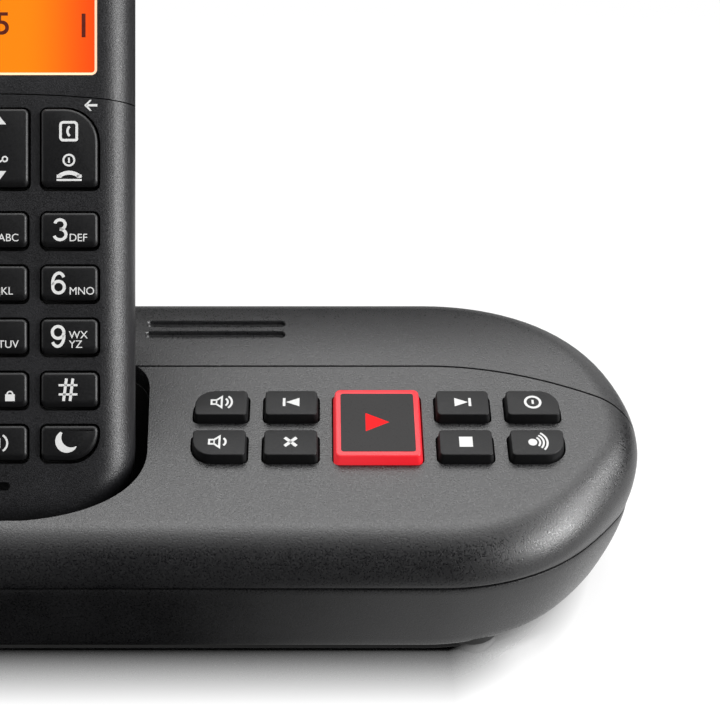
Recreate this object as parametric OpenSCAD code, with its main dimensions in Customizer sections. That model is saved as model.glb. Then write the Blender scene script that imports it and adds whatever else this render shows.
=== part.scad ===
// Table-top answering machine with a cordless handset standing in its cradle.
// Millimetres. X runs to the right, Y to the back, Z up from the table.
// The front of the base is at low Y. The origin is the middle of the footprint.

/* [Base] */
// Overall width of the base
base_w = 163.5; // [163:0.5:168]
// How far the sides and the rear swell out above the seam
side_bulge = 1.13; // [1:0.01:1.2]
// Height of the seam between the bottom housing and the covers
seam_z = 14.8; // [14.6:0.1:15]
// Height of the front panel's plane at the front edge
panel_z = 22.2; // [22.1:0.1:22.6]
// Slope of the front panel in degrees
panel_slope = 15.3; // [15:0.1:15.6]
// Radius of the rounded top edge
edge_r = 6.9; // [6.5:0.1:7]
// Wall thickness of the base covers
wall = 2.2; // [2:0.1:2.4]
// Distance of the line between front panel and rear cover from the front edge
split_y = 43.2; // [43:0.1:43.4]

/* [Answering keys] */
// Centre of the key field along X
key_x = 33.6; // [33:0.1:34]
// Centre of the key field up the slope
key_p = 28.65; // [28.5:0.05:28.8]
// Width of a key
key_w = 9.9; // [9.5:0.1:10]
// Height of a key
key_h = 6.2; // [5.8:0.1:6.3]
// Distance of the inner key columns from the centre
column_in = 15.65; // [15.5:0.05:15.9]
// Distance of the outer key columns from the centre
column_out = 28.45; // [28.3:0.05:28.6]
// Distance between the two rows
row_pitch = 9.7; // [9.6:0.05:9.9]
// Width of the play key
play_w = 15.9; // [15.5:0.1:16]
// Height of the play key
play_h = 16.5; // [16:0.1:16.6]
// How far the keys stand proud of the panel
key_rise = 2; // [1.6:0.1:2.2]
// Travel of an answering key
key_travel = 0.8; // [0.5:0.1:0.8]

/* [Handset] */
// Width of the handset
handset_w = 47.1; // [47:0.1:47.6]
// Length of the handset
handset_len = 158; // [154:1:162]
// Thickness at the foot, where it stands in the cradle
foot_t = 19; // [18.6:0.1:19]
// Thickness over the battery
back_t = 23.5; // [23.3:0.1:24]
// Angle by which the handset leans back
lean = 30; // [30:0.1:30.2]
// Distance between the number columns
pad_pitch_x = 12.47; // [12.3:0.01:12.6]
// Distance between the number rows
pad_pitch_z = 9.38; // [9.3:0.01:9.4]
// Travel of a handset key
pad_travel = 0.5; // [0.3:0.1:0.5]
// Height that the handset is lifted to clear the cradle
lift = 70; // [60:1:90]

/* [Hidden] */
$fn = 48;

eps = 0.02;
seam_gap = 0.3;
hole_gap = 0.3;
floor_z = 1;
floor_t = 2.2;
foot_inset_x = 4.83;
foot_inset_y = 1.73;
mid_y = 31.5;
crest_y = 44;
crest_k = 0.0066;
panel_tan = tan(panel_slope);

// plan outline: tangent arcs by the direction they face, -90 front, 90 rear
outline_r = [35.4, 75, 19, 25.4, 37.5];
outline_a = [-90, -42.5, -33.6, 0, 14.9, 90];
fine_steps = [5, 2, 4, 2, 8];
coarse_steps = [3, 1, 2, 1, 4];
function next_centre(c, k) = c + (outline_r[k] - outline_r[k + 1]) * [cos(outline_a[k + 1]), sin(outline_a[k + 1])];
centre_0 = [base_w / 2 - side_bulge - 36.45, outline_r[0]];
centre_1 = next_centre(centre_0, 0);
centre_2 = next_centre(centre_1, 1);
centre_3 = next_centre(centre_2, 2);
centre_4 = next_centre(centre_3, 3);
centres = [centre_0, centre_1, centre_2, centre_3, centre_4];

// where the handset stands: the lower end of its face
dock_x = -33.4;
dock_y = 11.7;
dock_z = 17.85;
face_r = 6.2;
back_r = 5.5;
shell_t = 1.8;
cut_d = 9.5;
cut_gap = 0.15;
bump_start = 34;
bump_end = 46;

// recess for the handset, in the handset's own axes
recess_w = 25.7;
recess_front = 7.2;
recess_mid = 4;
recess_back = 19.6;
recess_corner = 5;
recess_power = 2.2;
recess_floor = -0.5;
recess_low_z = 11;
cup_t = 1.6;

// number pad
pad_top = 53.8;
pad_w = 9.9;
pad_h = 6;
pad_rise = 0.9;
nav_w = 10.35;
nav_h = 13.7;
nav_mid = 68.25;
big_corner = 5.8;

// parts on the sloped key board, by their distance under the panel
flange_top = 2.6;
flange_bottom = 3.5;
mat_top = 4.65;
mat_bottom = 5.5;
board_bottom = 7.1;

board_z = 4.2;
board_t = 1.6;
jack_top = 14.2;
line_x = 24;
dc_x = 42;
dc_z = 10;
screw_spots = [[-72.2, 31], [72.2, 31], [-60, 49], [60, 49]];
foot_spots = [[-50, 8.2], [50, 8.2], [-50, 56.5], [50, 56.5]];
speaker_x = 8;
speaker_y = 51.5;
speaker_r = 12;
speaker_z = 30.2;
slot_x = 3;
slot_len = 26.8;
slot_ys = [51.75, 55.1];
cell_x = 5.6;
cell_d = 15.9;
cell_r = 5.25;
cell_low = 53.5;
cell_len = 44.5;
door_low = 48;
door_top = 104;
door_w = 32;
door_t = 1.6;
window_w = 34.5;
window_low = 81.2;
window_top = 106.5;
ear_w = 142;
mic_w = 8.6;
pad_u = 9;
pad_d = 7.5;

abs_black = [0.24, 0.24, 0.25];
key_black = [0.13, 0.13, 0.14];

// ---------- outlines ----------

// samples of the base's plan outline: arc, direction and side
function half_outline(steps) = concat([[0, -90]], [for (k = [0:4], i = [1:steps[k]])
  [k, outline_a[k] + (outline_a[k + 1] - outline_a[k]) * i / steps[k]]]);
function outline(steps) = let (h = half_outline(steps), n = len(h)) concat(
  [for (o = h) [o[0], o[1], 1]],
  [for (i = [n - 1:-1:0]) [h[i][0], h[i][1], -1]]);
// point of a sample, drawn in by inset
function plan_point(o, inset) =
  let (c = centres[o[0]], r = outline_r[o[0]] - inset)
  [o[2] * (c.x + r * cos(o[1])), c.y + r * sin(o[1])];

// height of the top surface above the table
function top_z(y) = panel_z + y * panel_tan
  - (y > crest_y ? crest_k * pow(y - crest_y, 2) : 0);

// how far the wall above the seam swells out at a sample
wall_low = seam_z + seam_gap;
function swell(o) =
  let (h = top_z(plan_point(o, 0).y) - edge_r - wall_low)
  side_bulge * sin(90 * min(max(h, 0), 9) / 9);
function wall_ring(t, w, steps) =
  [for (o = outline(steps)) let (p = plan_point(o, t - swell(o) * sin(90 * w)))
    [p.x, p.y, wall_low + w * (top_z(p.y) - edge_r - wall_low)]];
// one ring of the domed top: t is the wall left outside it, phi the edge angle
function dome_ring(t, phi, steps) =
  let (r = edge_r - t)
  [for (o = outline(steps)) let (p = plan_point(o, t + r * (1 - cos(phi)) - swell(o)))
    [p.x, p.y, top_z(p.y) - t - r * (1 - sin(phi))]];
function dome_inner(t, inset, steps) =
  [for (o = outline(steps)) let (p = plan_point(o, inset)) [p.x, p.y, top_z(p.y) - t]];
function dome_middle(t, inset, steps) =
  [for (o = outline(steps)) let (p = plan_point(o, inset), y = 33 + 0.6 * (p.y - 33))
    [0.6 * p.x, y, top_z(y) - t]];
function flat_ring(inset, z, steps) =
  [for (o = outline(steps)) let (p = plan_point(o, inset)) [p.x, p.y, z]];

// rounded rectangle with its own radius at each corner, from the lower left
function corner(cx, cy, r, a0, n = 5) =
  r <= 0 ? [[cx, cy]] : [for (i = [0:n]) [cx + r * cos(a0 + 90 * i / n), cy + r * sin(a0 + 90 * i / n)]];
function plate(w, h, r) = concat(
  corner(-w / 2 + r[0], -h / 2 + r[0], r[0], 180),
  corner(w / 2 - r[1], -h / 2 + r[1], r[1], 270),
  corner(w / 2 - r[2], h / 2 - r[2], r[2], 0),
  corner(-w / 2 + r[3], h / 2 - r[3], r[3], 90));
function grown(r, d) = [for (x = r) max(0.2, x + d)];

// section of the recess: a flattened front arc, nearly straight sides, round back
function recess_section(d) = concat(
  [for (i = [0:16])
    let (a = -180 + 180 * i / 16)
    [sign(cos(a)) * (recess_w + d) * pow(abs(cos(a)), 2 / recess_power),
     recess_mid - (recess_front + recess_mid + d) * pow(abs(sin(a)), 2 / recess_power)]],
  corner(recess_w - recess_corner - 0.7, recess_back - recess_corner, recess_corner + d, 0),
  corner(-recess_w + recess_corner + 0.7, recess_back - recess_corner, recess_corner + d, 90));

// ---------- solids from rings ----------

// closed solid through rings of equal length, each given anticlockwise from above
module loft(rings) {
  n = len(rings[0]);
  m = len(rings);
  polyhedron(
    points = [for (r = rings) each r],
    faces = concat(
      [[for (i = [0:n - 1]) i]],
      [for (k = [0:m - 2], i = [0:n - 1])
        let (j = (i + 1) % n, a = k * n, b = a + n)
        each [[a + i, b + i, b + j], [a + i, b + j, a + j]]],
      [[for (i = [0:n - 1]) m * n - 1 - i]]),
    convexity = 6);
}

module dome_solid(t, lows, phis, insets, steps) {
  loft(concat(
    [for (z = lows) flat_ring(t, z, steps)],
    [for (w = [0.35, 0.7]) wall_ring(t, w, steps)],
    [for (f = phis) dome_ring(t, f, steps)],
    [for (i = insets) dome_inner(t, i, steps)],
    [dome_middle(t, 17, steps)]));
}

// thickness of the handset along its length
function ease(x) = let (c = min(1, max(0, x))) c * c * (3 - 2 * c);
function back_depth(w) = foot_t
  + (back_t - foot_t) * ease((w - bump_start) / (bump_end - bump_start))
  - 3 * ease((w - (handset_len - 30)) / 26);
function round_in(s, r) = s >= r ? 0 : r * (1 - sqrt(1 - pow(1 - s / r, 2)));
end_curve = 15;
end_power = 2.4;
function end_width(s) = s >= end_curve ? 1
  : pow(1 - pow(1 - s / end_curve, end_power), 1 / end_power);
// handset half width, face depth and back depth at height w, t inside the skin
function ring_s(w, t) = max(0.05, min(w - t, handset_len - t - w));
function ring_hw(w, t) = (handset_w / 2 - t) * end_width(ring_s(w, t));
function ring_face(w, t) = t + round_in(ring_s(w, t), 5 - t);
function ring_back(w, t) = back_depth(w) - t - round_in(ring_s(w, t), 9 - t);
// the sides draw in towards the back
function taper(d) = let (t = max(0, d - 3.4)) 1 - 0.0058 * t * t / (t + 1.6);
function front_section(w, t, cut) =
  let (hw = ring_hw(w, t), d = ring_face(w, t), r = min(face_r - t, hw * 0.95, cut - d - 0.1))
  [for (p = concat([[-hw, cut]], corner(-hw + r, d + r, r, 180), corner(hw - r, d + r, r, 270), [[hw, cut]]))
    [p.x * taper(p.y), p.y, w]];
function back_section(w, t, cut) =
  let (hw = ring_hw(w, t), d = ring_back(w, t), r = min(back_r - t, hw * 0.95, d - cut - 0.1))
  [for (p = concat([[hw, cut]], corner(hw - r, d - r, r, 0), corner(-hw + r, d - r, r, 90), [[-hw, cut]]))
    [p.x * taper(p.y), p.y, w]];
// ring heights: close together at the rounded ends
function end_steps_w(t) = [for (i = [0:8]) max(0.05, end_curve * (1 - cos(90 * i / 8)))];
function ring_heights(t, mids) = concat(
  [for (s = end_steps_w(t)) t + s], mids,
  [for (i = [8:-1:0]) handset_len - t - end_steps_w(t)[i]]);
back_mids = [34, 37, 40, 43, 46, 128, 134, 140];
// overall depth, from the front edge of the base to the back of the handset
depth_all = dock_y + max([for (w = ring_heights(0, back_mids)) ring_back(w, 0) * cos(lean) + w * sin(lean)]);

module front_half(t, cut, mids = [80]) {
  loft([for (w = ring_heights(t, mids)) front_section(w, t, cut)]);
}
module back_half(t, cut) {
  loft([for (w = ring_heights(t, back_mids)) back_section(w, t, cut)]);
}

// ---------- frames ----------

module at_origin() translate([0, -depth_all / 2, 0]) children();
module on_panel() at_origin() translate([0, 0, panel_z]) rotate([panel_slope, 0, 0]) children();
// X across, Y into the handset from its face, Z along it
module on_handset() at_origin() translate([dock_x, dock_y, dock_z]) rotate([-lean, 0, 0]) children();
// extrudes an outline drawn on the face (across, along) from depth a to depth b
module through_face(a, b) translate([0, b, 0]) rotate([90, 0, 0]) linear_extrude(b - a) children();

module recess_prism(d, low, high) translate([0, 0, low]) linear_extrude(high - low) polygon(recess_section(d));
module beyond_y(y) at_origin() translate([-150, y, -20]) cube([300, 200, 120]);
// region behind the line between the covers, which curves forward at the ends
function split_at(x) = split_y - 0.0077 * pow(max(0, abs(x) - 43), 2);
split_xs = concat([-100], [for (i = [10:-1:0]) -43 - 4 * i], [for (i = [0:10]) 43 + 4 * i], [100]);
module beyond_split(d) at_origin() translate([0, 0, -20]) linear_extrude(120)
  polygon(concat([for (x = split_xs) [x, split_at(x) + d]], [[100, 200], [-100, 200]]));
module above_z(z) at_origin() translate([-150, -50, z]) cube([300, 250, 120]);
module recess_space() intersection() {
  on_handset() recess_prism(0, recess_floor, 60);
  beyond_y(recess_front);
  above_z(recess_low_z);
}
// space under a plane a given distance below the panel's own plane
module under_panel(d) at_origin() translate([0, 0, panel_z - d])
  rotate([panel_slope, 0, 0]) translate([-150, -50, -60]) cube([300, 250, 60]);

// ---------- base ----------

module post(x, y, r, z0, z1) at_origin() translate([x, y, z0]) cylinder(r = r, h = z1 - z0);

module housing_loft(t, z0, z1, steps) {
  function low(k) = let (f = pow(k, 1.5)) [for (o = outline(steps)) let (p = plan_point(o, t))
    [p.x * (1 - foot_inset_x * f / 82),
     mid_y + (p.y - mid_y) * (1 - foot_inset_y * f / mid_y),
     z1 - (z1 - z0) * k]];
  at_origin() loft([for (k = [1, 0.85, 0.65, 0.45, 0.25, 0.1, 0]) low(k)]);
}

module base_bottom_housing() color(abs_black) difference() {
  union() {
    difference() {
      housing_loft(0, floor_z, seam_z, fine_steps);
      housing_loft(wall, floor_z + floor_t, seam_z + eps, coarse_steps);
    }
    for (s = screw_spots) post(s.x, s.y, 4, floor_z + floor_t - eps, 8);
    for (x = [-50, 0, 50], y = [13, 51]) post(x, y, 2.5, floor_z + floor_t - eps, board_z);
  }
  for (s = screw_spots) {
    post(s.x, s.y, 3.1, floor_z - eps, 5);
    post(s.x, s.y, 1.6, 4, 9);
  }
  for (f = foot_spots) post(f.x, f.y, 5.3, floor_z - eps, floor_z + 0.6);
  at_origin() translate([line_x - 5.3, 58, 6.5]) cube([10.6, 12, 7.2]);
  at_origin() translate([dc_x, 58, dc_z]) rotate([-90, 0, 0]) cylinder(r = 3.4, h = 12);
}

edge_angles = [0, 15, 30, 45, 60, 75, 90];
module cover_shell() at_origin() difference() {
  dome_solid(0, [wall_low], edge_angles, [10.5, 14, 17], fine_steps);
  dome_solid(wall, [seam_z - 3, wall_low], [0, 30, 60, 90], [12, 17], coarse_steps);
}

module key_outline(w, h, r, d) polygon(plate(w + 2 * d, h + 2 * d, grown(r, d)));
// place on the panel of the key in column c (-2 to 2) and row r (0 lower, 1 upper)
function column_x(c) = key_x + sign(c) * (abs(c) == 2 ? column_out : column_in);
function row_p(r) = key_p + (r - 0.5) * row_pitch;
small_r = 0.8;
round_r = 3.6;
// column, row and corner radii of the small keys
small_keys = [
  [-2, 1, [small_r, small_r, small_r, round_r]],
  [-2, 0, [round_r, small_r, small_r, small_r]],
  [-1, 1, [small_r, small_r, small_r, small_r]],
  [-1, 0, [small_r, small_r, small_r, small_r]],
  [1, 1, [small_r, small_r, small_r, small_r]],
  [1, 0, [small_r, small_r, small_r, small_r]],
  [2, 1, [small_r, small_r, round_r, small_r]],
  [2, 0, [small_r, round_r, small_r, small_r]]
];
play_r = [1, 1, 1, 1];

module key_place(k) on_panel() translate([column_x(k[0]), row_p(k[1]), 0]) children();
module play_place() on_panel() translate([key_x, key_p, 0]) children();

module panel_holes() {
  for (k = small_keys) key_place(k) translate([0, 0, -5]) linear_extrude(9) key_outline(key_w, key_h, k[2], hole_gap);
  play_place() translate([0, 0, -5]) linear_extrude(9) key_outline(play_w, play_h, play_r, hole_gap);
}

module front_panel_cover() color(abs_black) {
  difference() {
    union() {
      difference() {
        cover_shell();
        beyond_split(-cut_gap);
      }
      for (s = screw_spots) if (s.y < split_y) post(s.x, s.y, 2.6, 8.1, top_z(s.y + 2.6) - wall);
      for (x = [-2.3, 68.9], p = [19, 37])
        on_panel() translate([x, p, -mat_bottom]) cylinder(r = 1.4, h = mat_bottom - wall + 0.4);
    }
    for (s = screw_spots) post(s.x, s.y, 1.45, 8, 19);
    panel_holes();
    recess_space();
  }
}

module rear_top_cover() color(abs_black) difference() {
  union() {
    intersection() {
      cover_shell();
      beyond_split(cut_gap);
    }
    for (s = screw_spots) if (s.y > split_y) post(s.x, s.y, 2.6, 8.1, top_z(s.y + 2.6) - wall + 0.1);
    intersection() {
      difference() {
        post(speaker_x, speaker_y, speaker_r + 0.8, speaker_z, top_z(split_y) - 0.15);
        post(speaker_x, speaker_y, speaker_r - 0.8, speaker_z - 1, 40);
      }
      beyond_y(split_y + cut_gap);
    }
  }
  for (s = screw_spots) post(s.x, s.y, 1.45, 8, 19);
  for (y = slot_ys) at_origin() {
    translate([slot_x, y, top_z(y) - 0.8]) linear_extrude(3) key_outline(slot_len, 2.2, [1, 1, 1, 1], 0);
    translate([slot_x, y - 0.4, top_z(y) - 6]) linear_extrude(8) key_outline(slot_len - 7, 1.1, [0.5, 0.5, 0.5, 0.5], 0);
  }
  recess_space();
}

module cradle_cup() color(key_black) difference() {
  intersection() {
    on_handset() recess_prism(cup_t, recess_floor - cup_t, 60);
    beyond_y(recess_front - 1.4);
    above_z(recess_low_z - cup_t);
    under_panel(wall + 0.25);
  }
  recess_space();
  for (u = [-pad_u, pad_u]) on_handset() translate([u, pad_d, -6]) cylinder(r = 1.6, h = 8);
}

module charge_contacts() color([0.85, 0.83, 0.78]) for (u = [-pad_u, pad_u]) on_handset() {
  translate([u, pad_d, -2.6]) cylinder(r = 1.2, h = 3.05);
  translate([u - 1.5, pad_d - 5, -2.6]) cube([3, 8, 0.45]);
}

module main_board() color([0.1, 0.35, 0.2]) difference() {
  at_origin() translate([0, 32, board_z]) linear_extrude(board_t) polygon(plate(136, 46, [16, 16, 16, 16]));
  for (s = screw_spots) post(s.x, s.y, 5, 0, 12);
}

module key_board() color([0.1, 0.35, 0.2]) on_panel()
  translate([key_x - 1.1, key_p, -board_bottom]) linear_extrude(board_bottom - mat_bottom) polygon(plate(73, 23, [2, 2, 2, 2]));

module key_mat() color([0.75, 0.75, 0.72]) on_panel() difference() {
  translate([key_x - 0.2, key_p, -mat_bottom]) linear_extrude(mat_bottom - mat_top) polygon(plate(66.8, 20, [2, 2, 2, 2]));
  translate([key_x, key_p, -8]) linear_extrude(6) polygon(plate(9, 9, [1, 1, 1, 1]));
}

module play_leds() color([0.95, 0.2, 0.15]) for (x = [-2.5, 2.5]) play_place()
  translate([x - 0.8, -1.6, -mat_bottom]) cube([1.6, 3.2, 0.8]);

module speaker_basket() color([0.3, 0.3, 0.32]) at_origin() translate([speaker_x, speaker_y, speaker_z]) rotate_extrude()
  polygon([[7.2, -5], [speaker_r - 2, -1.4], [speaker_r, -1.4], [speaker_r, -0.05], [speaker_r - 1.8, -0.05],
    [speaker_r - 2.6, -0.8], [7.2, -4.2]]);

module speaker_cone() color([0.12, 0.12, 0.12]) at_origin() translate([speaker_x, speaker_y, speaker_z]) rotate_extrude()
  polygon([[0, -3.6], [3, -3.6], [speaker_r - 2.9, -0.75], [speaker_r - 2, -0.05], [speaker_r - 2.6, -0.05],
    [speaker_r - 3.2, -0.35], [3, -3.1], [0, -2.4]]);

module speaker_magnet() color([0.55, 0.55, 0.57]) at_origin() translate([speaker_x, speaker_y, speaker_z]) rotate_extrude()
  polygon([[0, -8], [7, -8], [7, -4.25], [4, -4.25], [4, -7], [2.6, -7], [2.6, -4.25], [0, -4.25]]);

module dc_jack() color(key_black) at_origin() {
  difference() {
    translate([dc_x - 4.5, 49.9, board_z + board_t]) cube([9, 12, jack_top - board_z - board_t]);
    translate([dc_x, 52.1, dc_z]) rotate([-90, 0, 0]) cylinder(r = 2.85, h = 12);
  }
  translate([dc_x, 51.9, dc_z]) rotate([-90, 0, 0]) cylinder(r = 1, h = 9);
}

module line_jack() color([0.7, 0.7, 0.68]) at_origin() difference() {
  translate([line_x - 6.2, 48.9, board_z + board_t]) cube([12.4, 13, jack_top - board_z - board_t]);
  translate([line_x - 4.95, 50.9, board_z + board_t + 0.9]) cube([9.9, 12, 6.6]);
}

module rubber_feet() color([0.1, 0.1, 0.1]) for (f = foot_spots) post(f.x, f.y, 5.2, 0, floor_z + 0.6);

module housing_screws() color([0.75, 0.75, 0.77]) for (s = screw_spots) {
  post(s.x, s.y, 1.4, 4.9, 17);
  difference() {
    post(s.x, s.y, 2.7, 3, 4.98);
    post(s.x, s.y, 0.8, 2.9, 4);
  }
}

module small_key(k) color(key_black) key_place(k) {
  translate([0, 0, -flange_bottom]) linear_extrude(flange_bottom + key_rise) key_outline(key_w, key_h, k[2], 0);
  translate([0, 0, -flange_bottom]) linear_extrude(flange_bottom - flange_top) key_outline(key_w, key_h, k[2], 0.9);
}

cap_w = 12.9;
cap_h = 13.8;
module play_triangle(d) polygon([[-2.3 - d, -2.6 - 1.6 * d], [-2.3 - d, 2.6 + 1.6 * d], [2.4 + 1.6 * d, 0]]);
module play_light_body() color([0.9, 0.15, 0.15]) play_place() difference() {
  union() {
    translate([0, 0, -flange_bottom]) linear_extrude(flange_bottom + key_rise) key_outline(play_w, play_h, play_r, 0);
    translate([0, 0, -flange_bottom]) linear_extrude(flange_bottom - flange_top) key_outline(play_w, play_h, play_r, 0.9);
  }
  difference() {
    translate([0, 0, key_rise - 0.6]) linear_extrude(2) key_outline(cap_w, cap_h, [0.5, 0.5, 0.5, 0.5], 0.03);
    linear_extrude(key_rise) play_triangle(0);
  }
  translate([0, 0, -flange_bottom - eps]) linear_extrude(3.4) key_outline(11, 11, [1, 1, 1, 1], 0);
}
module play_cap() color([0.22, 0.21, 0.21]) play_place() difference() {
  translate([0, 0, key_rise - 0.57]) linear_extrude(0.6) key_outline(cap_w, cap_h, [0.5, 0.5, 0.5, 0.5], 0);
  linear_extrude(5) play_triangle(0.03);
}

// ---------- handset ----------

// height of the line between keypad cover and display cover, u across the face
function seam_w(u) = 77.85 - 0.00255 * u * u;
module below_seam(d) through_face(-5, 30) polygon(concat([[-40, -10]], [for (i = [-14:14]) [i * 2, seam_w(i * 2) - d]], [[40, -10]]));
function pad_x(c) = (c - 1) * pad_pitch_x;
function pad_z(r) = pad_top - r * pad_pitch_z;
tiny_r = 0.9;
plain_pad = [tiny_r, tiny_r, tiny_r, tiny_r];
// column, height along the handset, size and corner radii of every handset key
pad_keys = concat(
  [[0, nav_mid, pad_w, nav_h, [tiny_r, tiny_r, tiny_r, big_corner]],
   [1, nav_mid, nav_w, nav_h, plain_pad],
   [2, nav_mid, pad_w, nav_h, [tiny_r, tiny_r, big_corner, tiny_r]]],
  [for (r = [0:3], c = [0:2]) [c, pad_z(r), pad_w, pad_h, plain_pad]],
  [[0, pad_z(4), pad_w, pad_h, [4.8, tiny_r, tiny_r, tiny_r]],
   [1, pad_z(4), pad_w, pad_h, plain_pad],
   [2, pad_z(4), pad_w, pad_h, [tiny_r, 4.8, tiny_r, tiny_r]]]);

module pad_key(k, flange_d = 2.1) color(key_black) on_handset() translate([pad_x(k[0]), 0, k[1]]) {
  through_face(-pad_rise, 2.9) key_outline(k[2], k[3], k[4], 0);
  through_face(flange_d, 2.9) key_outline(k[2], k[3], k[4], 0.6);
}

module screw_post_handset(w, u, d0, d1, r) on_handset() translate([u, d0, w]) rotate([-90, 0, 0]) cylinder(r = r, h = d1 - d0);
handset_screw_spots = [[-14, 9], [14, 9], [-15, 114], [15, 114]];

module handset_keypad_cover() color(abs_black) difference() {
  union() {
    on_handset() intersection() {
      difference() {
        front_half(0, cut_d);
        front_half(shell_t, cut_d + 0.5);
      }
      below_seam(0.1);
    }
    for (s = handset_screw_spots) if (s.y < 77) screw_post_handset(s.y, s.x, shell_t - 0.3, cut_d + 1, 2.2);
  }
  for (k = pad_keys) on_handset() translate([pad_x(k[0]), 0, k[1]]) through_face(-3, 6) key_outline(k[2], k[3], k[4], 0.4);
  on_handset() translate([0, -2, mic_w]) rotate([-90, 0, 0]) cylinder(r = 0.9, h = 6);
  for (u = [-pad_u, pad_u]) on_handset() translate([u, pad_d, -1]) cylinder(r = 1.52, h = 4.5);
  for (s = handset_screw_spots) screw_post_handset(s.y, s.x, 6, 12, 1.05);
}

module handset_display_cover() color(abs_black) difference() {
  union() {
    on_handset() difference() {
      front_half(0, cut_d);
      front_half(shell_t, cut_d + 0.5);
      below_seam(-0.1);
    }
    for (s = handset_screw_spots) if (s.y > 77) screw_post_handset(s.y, s.x, shell_t - 0.3, cut_d + 1, 2.2);
  }
  for (s = handset_screw_spots) screw_post_handset(s.y, s.x, 6, 12, 1.05);
  on_handset() through_face(-2, 6) translate([0, (window_low + window_top) / 2]) polygon(plate(window_w, window_top - window_low, [1, 1, 1, 1]));
  for (i = [-1, 0, 1]) on_handset() through_face(-2, 6) translate([0, ear_w + 2.4 * i])
    polygon(plate(12 - 2 * abs(i), 1.1, [0.5, 0.5, 0.5, 0.5]));
}

module handset_rear_cover() color(abs_black) difference() {
  union() {
    on_handset() difference() {
      back_half(0, cut_d + cut_gap);
      back_half(shell_t, cut_d + cut_gap - 0.5);
    }
    // battery compartment with a ledge for its door
    on_handset() difference() {
      translate([-17.6, 9.9, 46.4]) cube([35.2, 12.1, 59.2]);
      difference() {
        translate([-15.2, 10.5, 49]) cube([30.4, 20, 54]);
        translate([-13.2, 9, 50]) cube([26.4, 9, 51]);
      }
      translate([-11.8, 10.5, 51.4]) cube([23.6, 12, 48.2]);
    }
    for (s = handset_screw_spots) screw_post_handset(s.y, s.x, cut_d + 1.1, back_depth(s.y) - 1, 3.2);
  }
  on_handset() through_face(back_t - door_t - 0.05, 30) translate([0, (door_low + door_top) / 2])
    polygon(plate(door_w + 0.5, door_top - door_low + 0.5, [2.2, 2.2, 2.2, 2.2]));
  for (s = handset_screw_spots) {
    screw_post_handset(s.y, s.x, 7, 30, 1.15);
    screw_post_handset(s.y, s.x, back_depth(s.y) - 4, 30, 2.2);
  }
  // ringer holes
  for (a = [0:60:300]) on_handset() translate([3.4 * cos(a), 15, 122 + 3.4 * sin(a)]) rotate([-90, 0, 0]) cylinder(r = 0.8, h = 12);
  on_handset() translate([0, 15, 122]) rotate([-90, 0, 0]) cylinder(r = 0.8, h = 12);
}

module battery_door() color(abs_black) on_handset() difference() {
  through_face(back_t - door_t, back_t) translate([0, (door_low + door_top) / 2])
    polygon(plate(door_w, door_top - door_low, [2, 2, 2, 2]));
  for (i = [0:3]) through_face(back_t - 0.5, back_t + 1) translate([0, door_top - 9 + 1.8 * i])
    polygon(plate(12, 0.8, [0.35, 0.35, 0.35, 0.35]));
}

module battery_cells() for (s = [-1, 1]) on_handset() translate([s * cell_x, cell_d, cell_low]) {
  color([0.2, 0.45, 0.3]) cylinder(r = cell_r, h = cell_len - 1);
  color([0.8, 0.8, 0.8]) translate([0, 0, s > 0 ? cell_len - 1 : -1]) cylinder(r = 2.6, h = 1);
}

module battery_contacts() color([0.8, 0.8, 0.78]) for (s = [-1, 1]) on_handset() {
  translate([s * cell_x - 4, 12, 51.4]) cube([8, 8, 0.4]);
  translate([s * cell_x, cell_d, 51.8]) cylinder(r = s > 0 ? 3.4 : 1.5, h = s > 0 ? 1.7 : 0.7);
  translate([s * cell_x - 4, 12, 99.2]) cube([8, 8, 0.4]);
  translate([s * cell_x, cell_d, s > 0 ? 98 : 97]) cylinder(r = s > 0 ? 1.5 : 3.4, h = s > 0 ? 1.2 : 2.2);
}

module display_lens() color([0.85, 0.85, 0.8]) on_handset() through_face(0.5, 1.5)
  translate([0, (window_low + window_top) / 2]) polygon(plate(window_w - 0.1, window_top - window_low - 0.1, [0.95, 0.95, 0.95, 0.95]));

module lcd_module() color([1, 0.45, 0.1]) on_handset() translate([-18, 2, 79]) cube([36, 2.6, 30.5]);

module handset_board() color([0.1, 0.35, 0.2]) difference() {
  on_handset() through_face(5.2, 6.4) translate([0, 72.75]) polygon(plate(40, 120.5, [8, 8, 4, 4]));
  for (s = handset_screw_spots) screw_post_handset(s.y, s.x, 4, 8, 2.6);
}

module handset_key_mat() color([0.75, 0.75, 0.72]) on_handset()
  through_face(3.7, 5.1) translate([0, 44.2]) polygon(plate(37, 64, [6, 6, 3, 3]));

module earpiece_receiver() color([0.6, 0.6, 0.62]) on_handset() translate([0, 1.9, ear_w]) rotate([-90, 0, 0]) {
  cylinder(r = 7.5, h = 2.6);
  cylinder(r = 5, h = 3.8);
}

module ringer_speaker() color([0.15, 0.15, 0.15]) on_handset() translate([0, 16.6, 122]) rotate([-90, 0, 0]) cylinder(r = 8.5, h = 4.4);

module microphone() color([0.75, 0.75, 0.7]) on_handset() translate([0, 1.9, mic_w]) rotate([-90, 0, 0]) cylinder(r = 3, h = 2.4);

module charge_pads() color([0.85, 0.83, 0.78]) for (u = [-pad_u, pad_u]) on_handset() translate([u, pad_d, 0.75]) cylinder(r = 1.5, h = 2.75);

module handset_screws() color([0.75, 0.75, 0.77]) for (s = handset_screw_spots) {
  screw_post_handset(s.y, s.x, 7.1, back_depth(s.y) - 3.9, 1);
  screw_post_handset(s.y, s.x, back_depth(s.y) - 3.95, back_depth(s.y) - 2.6, 2.1);
}

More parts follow.
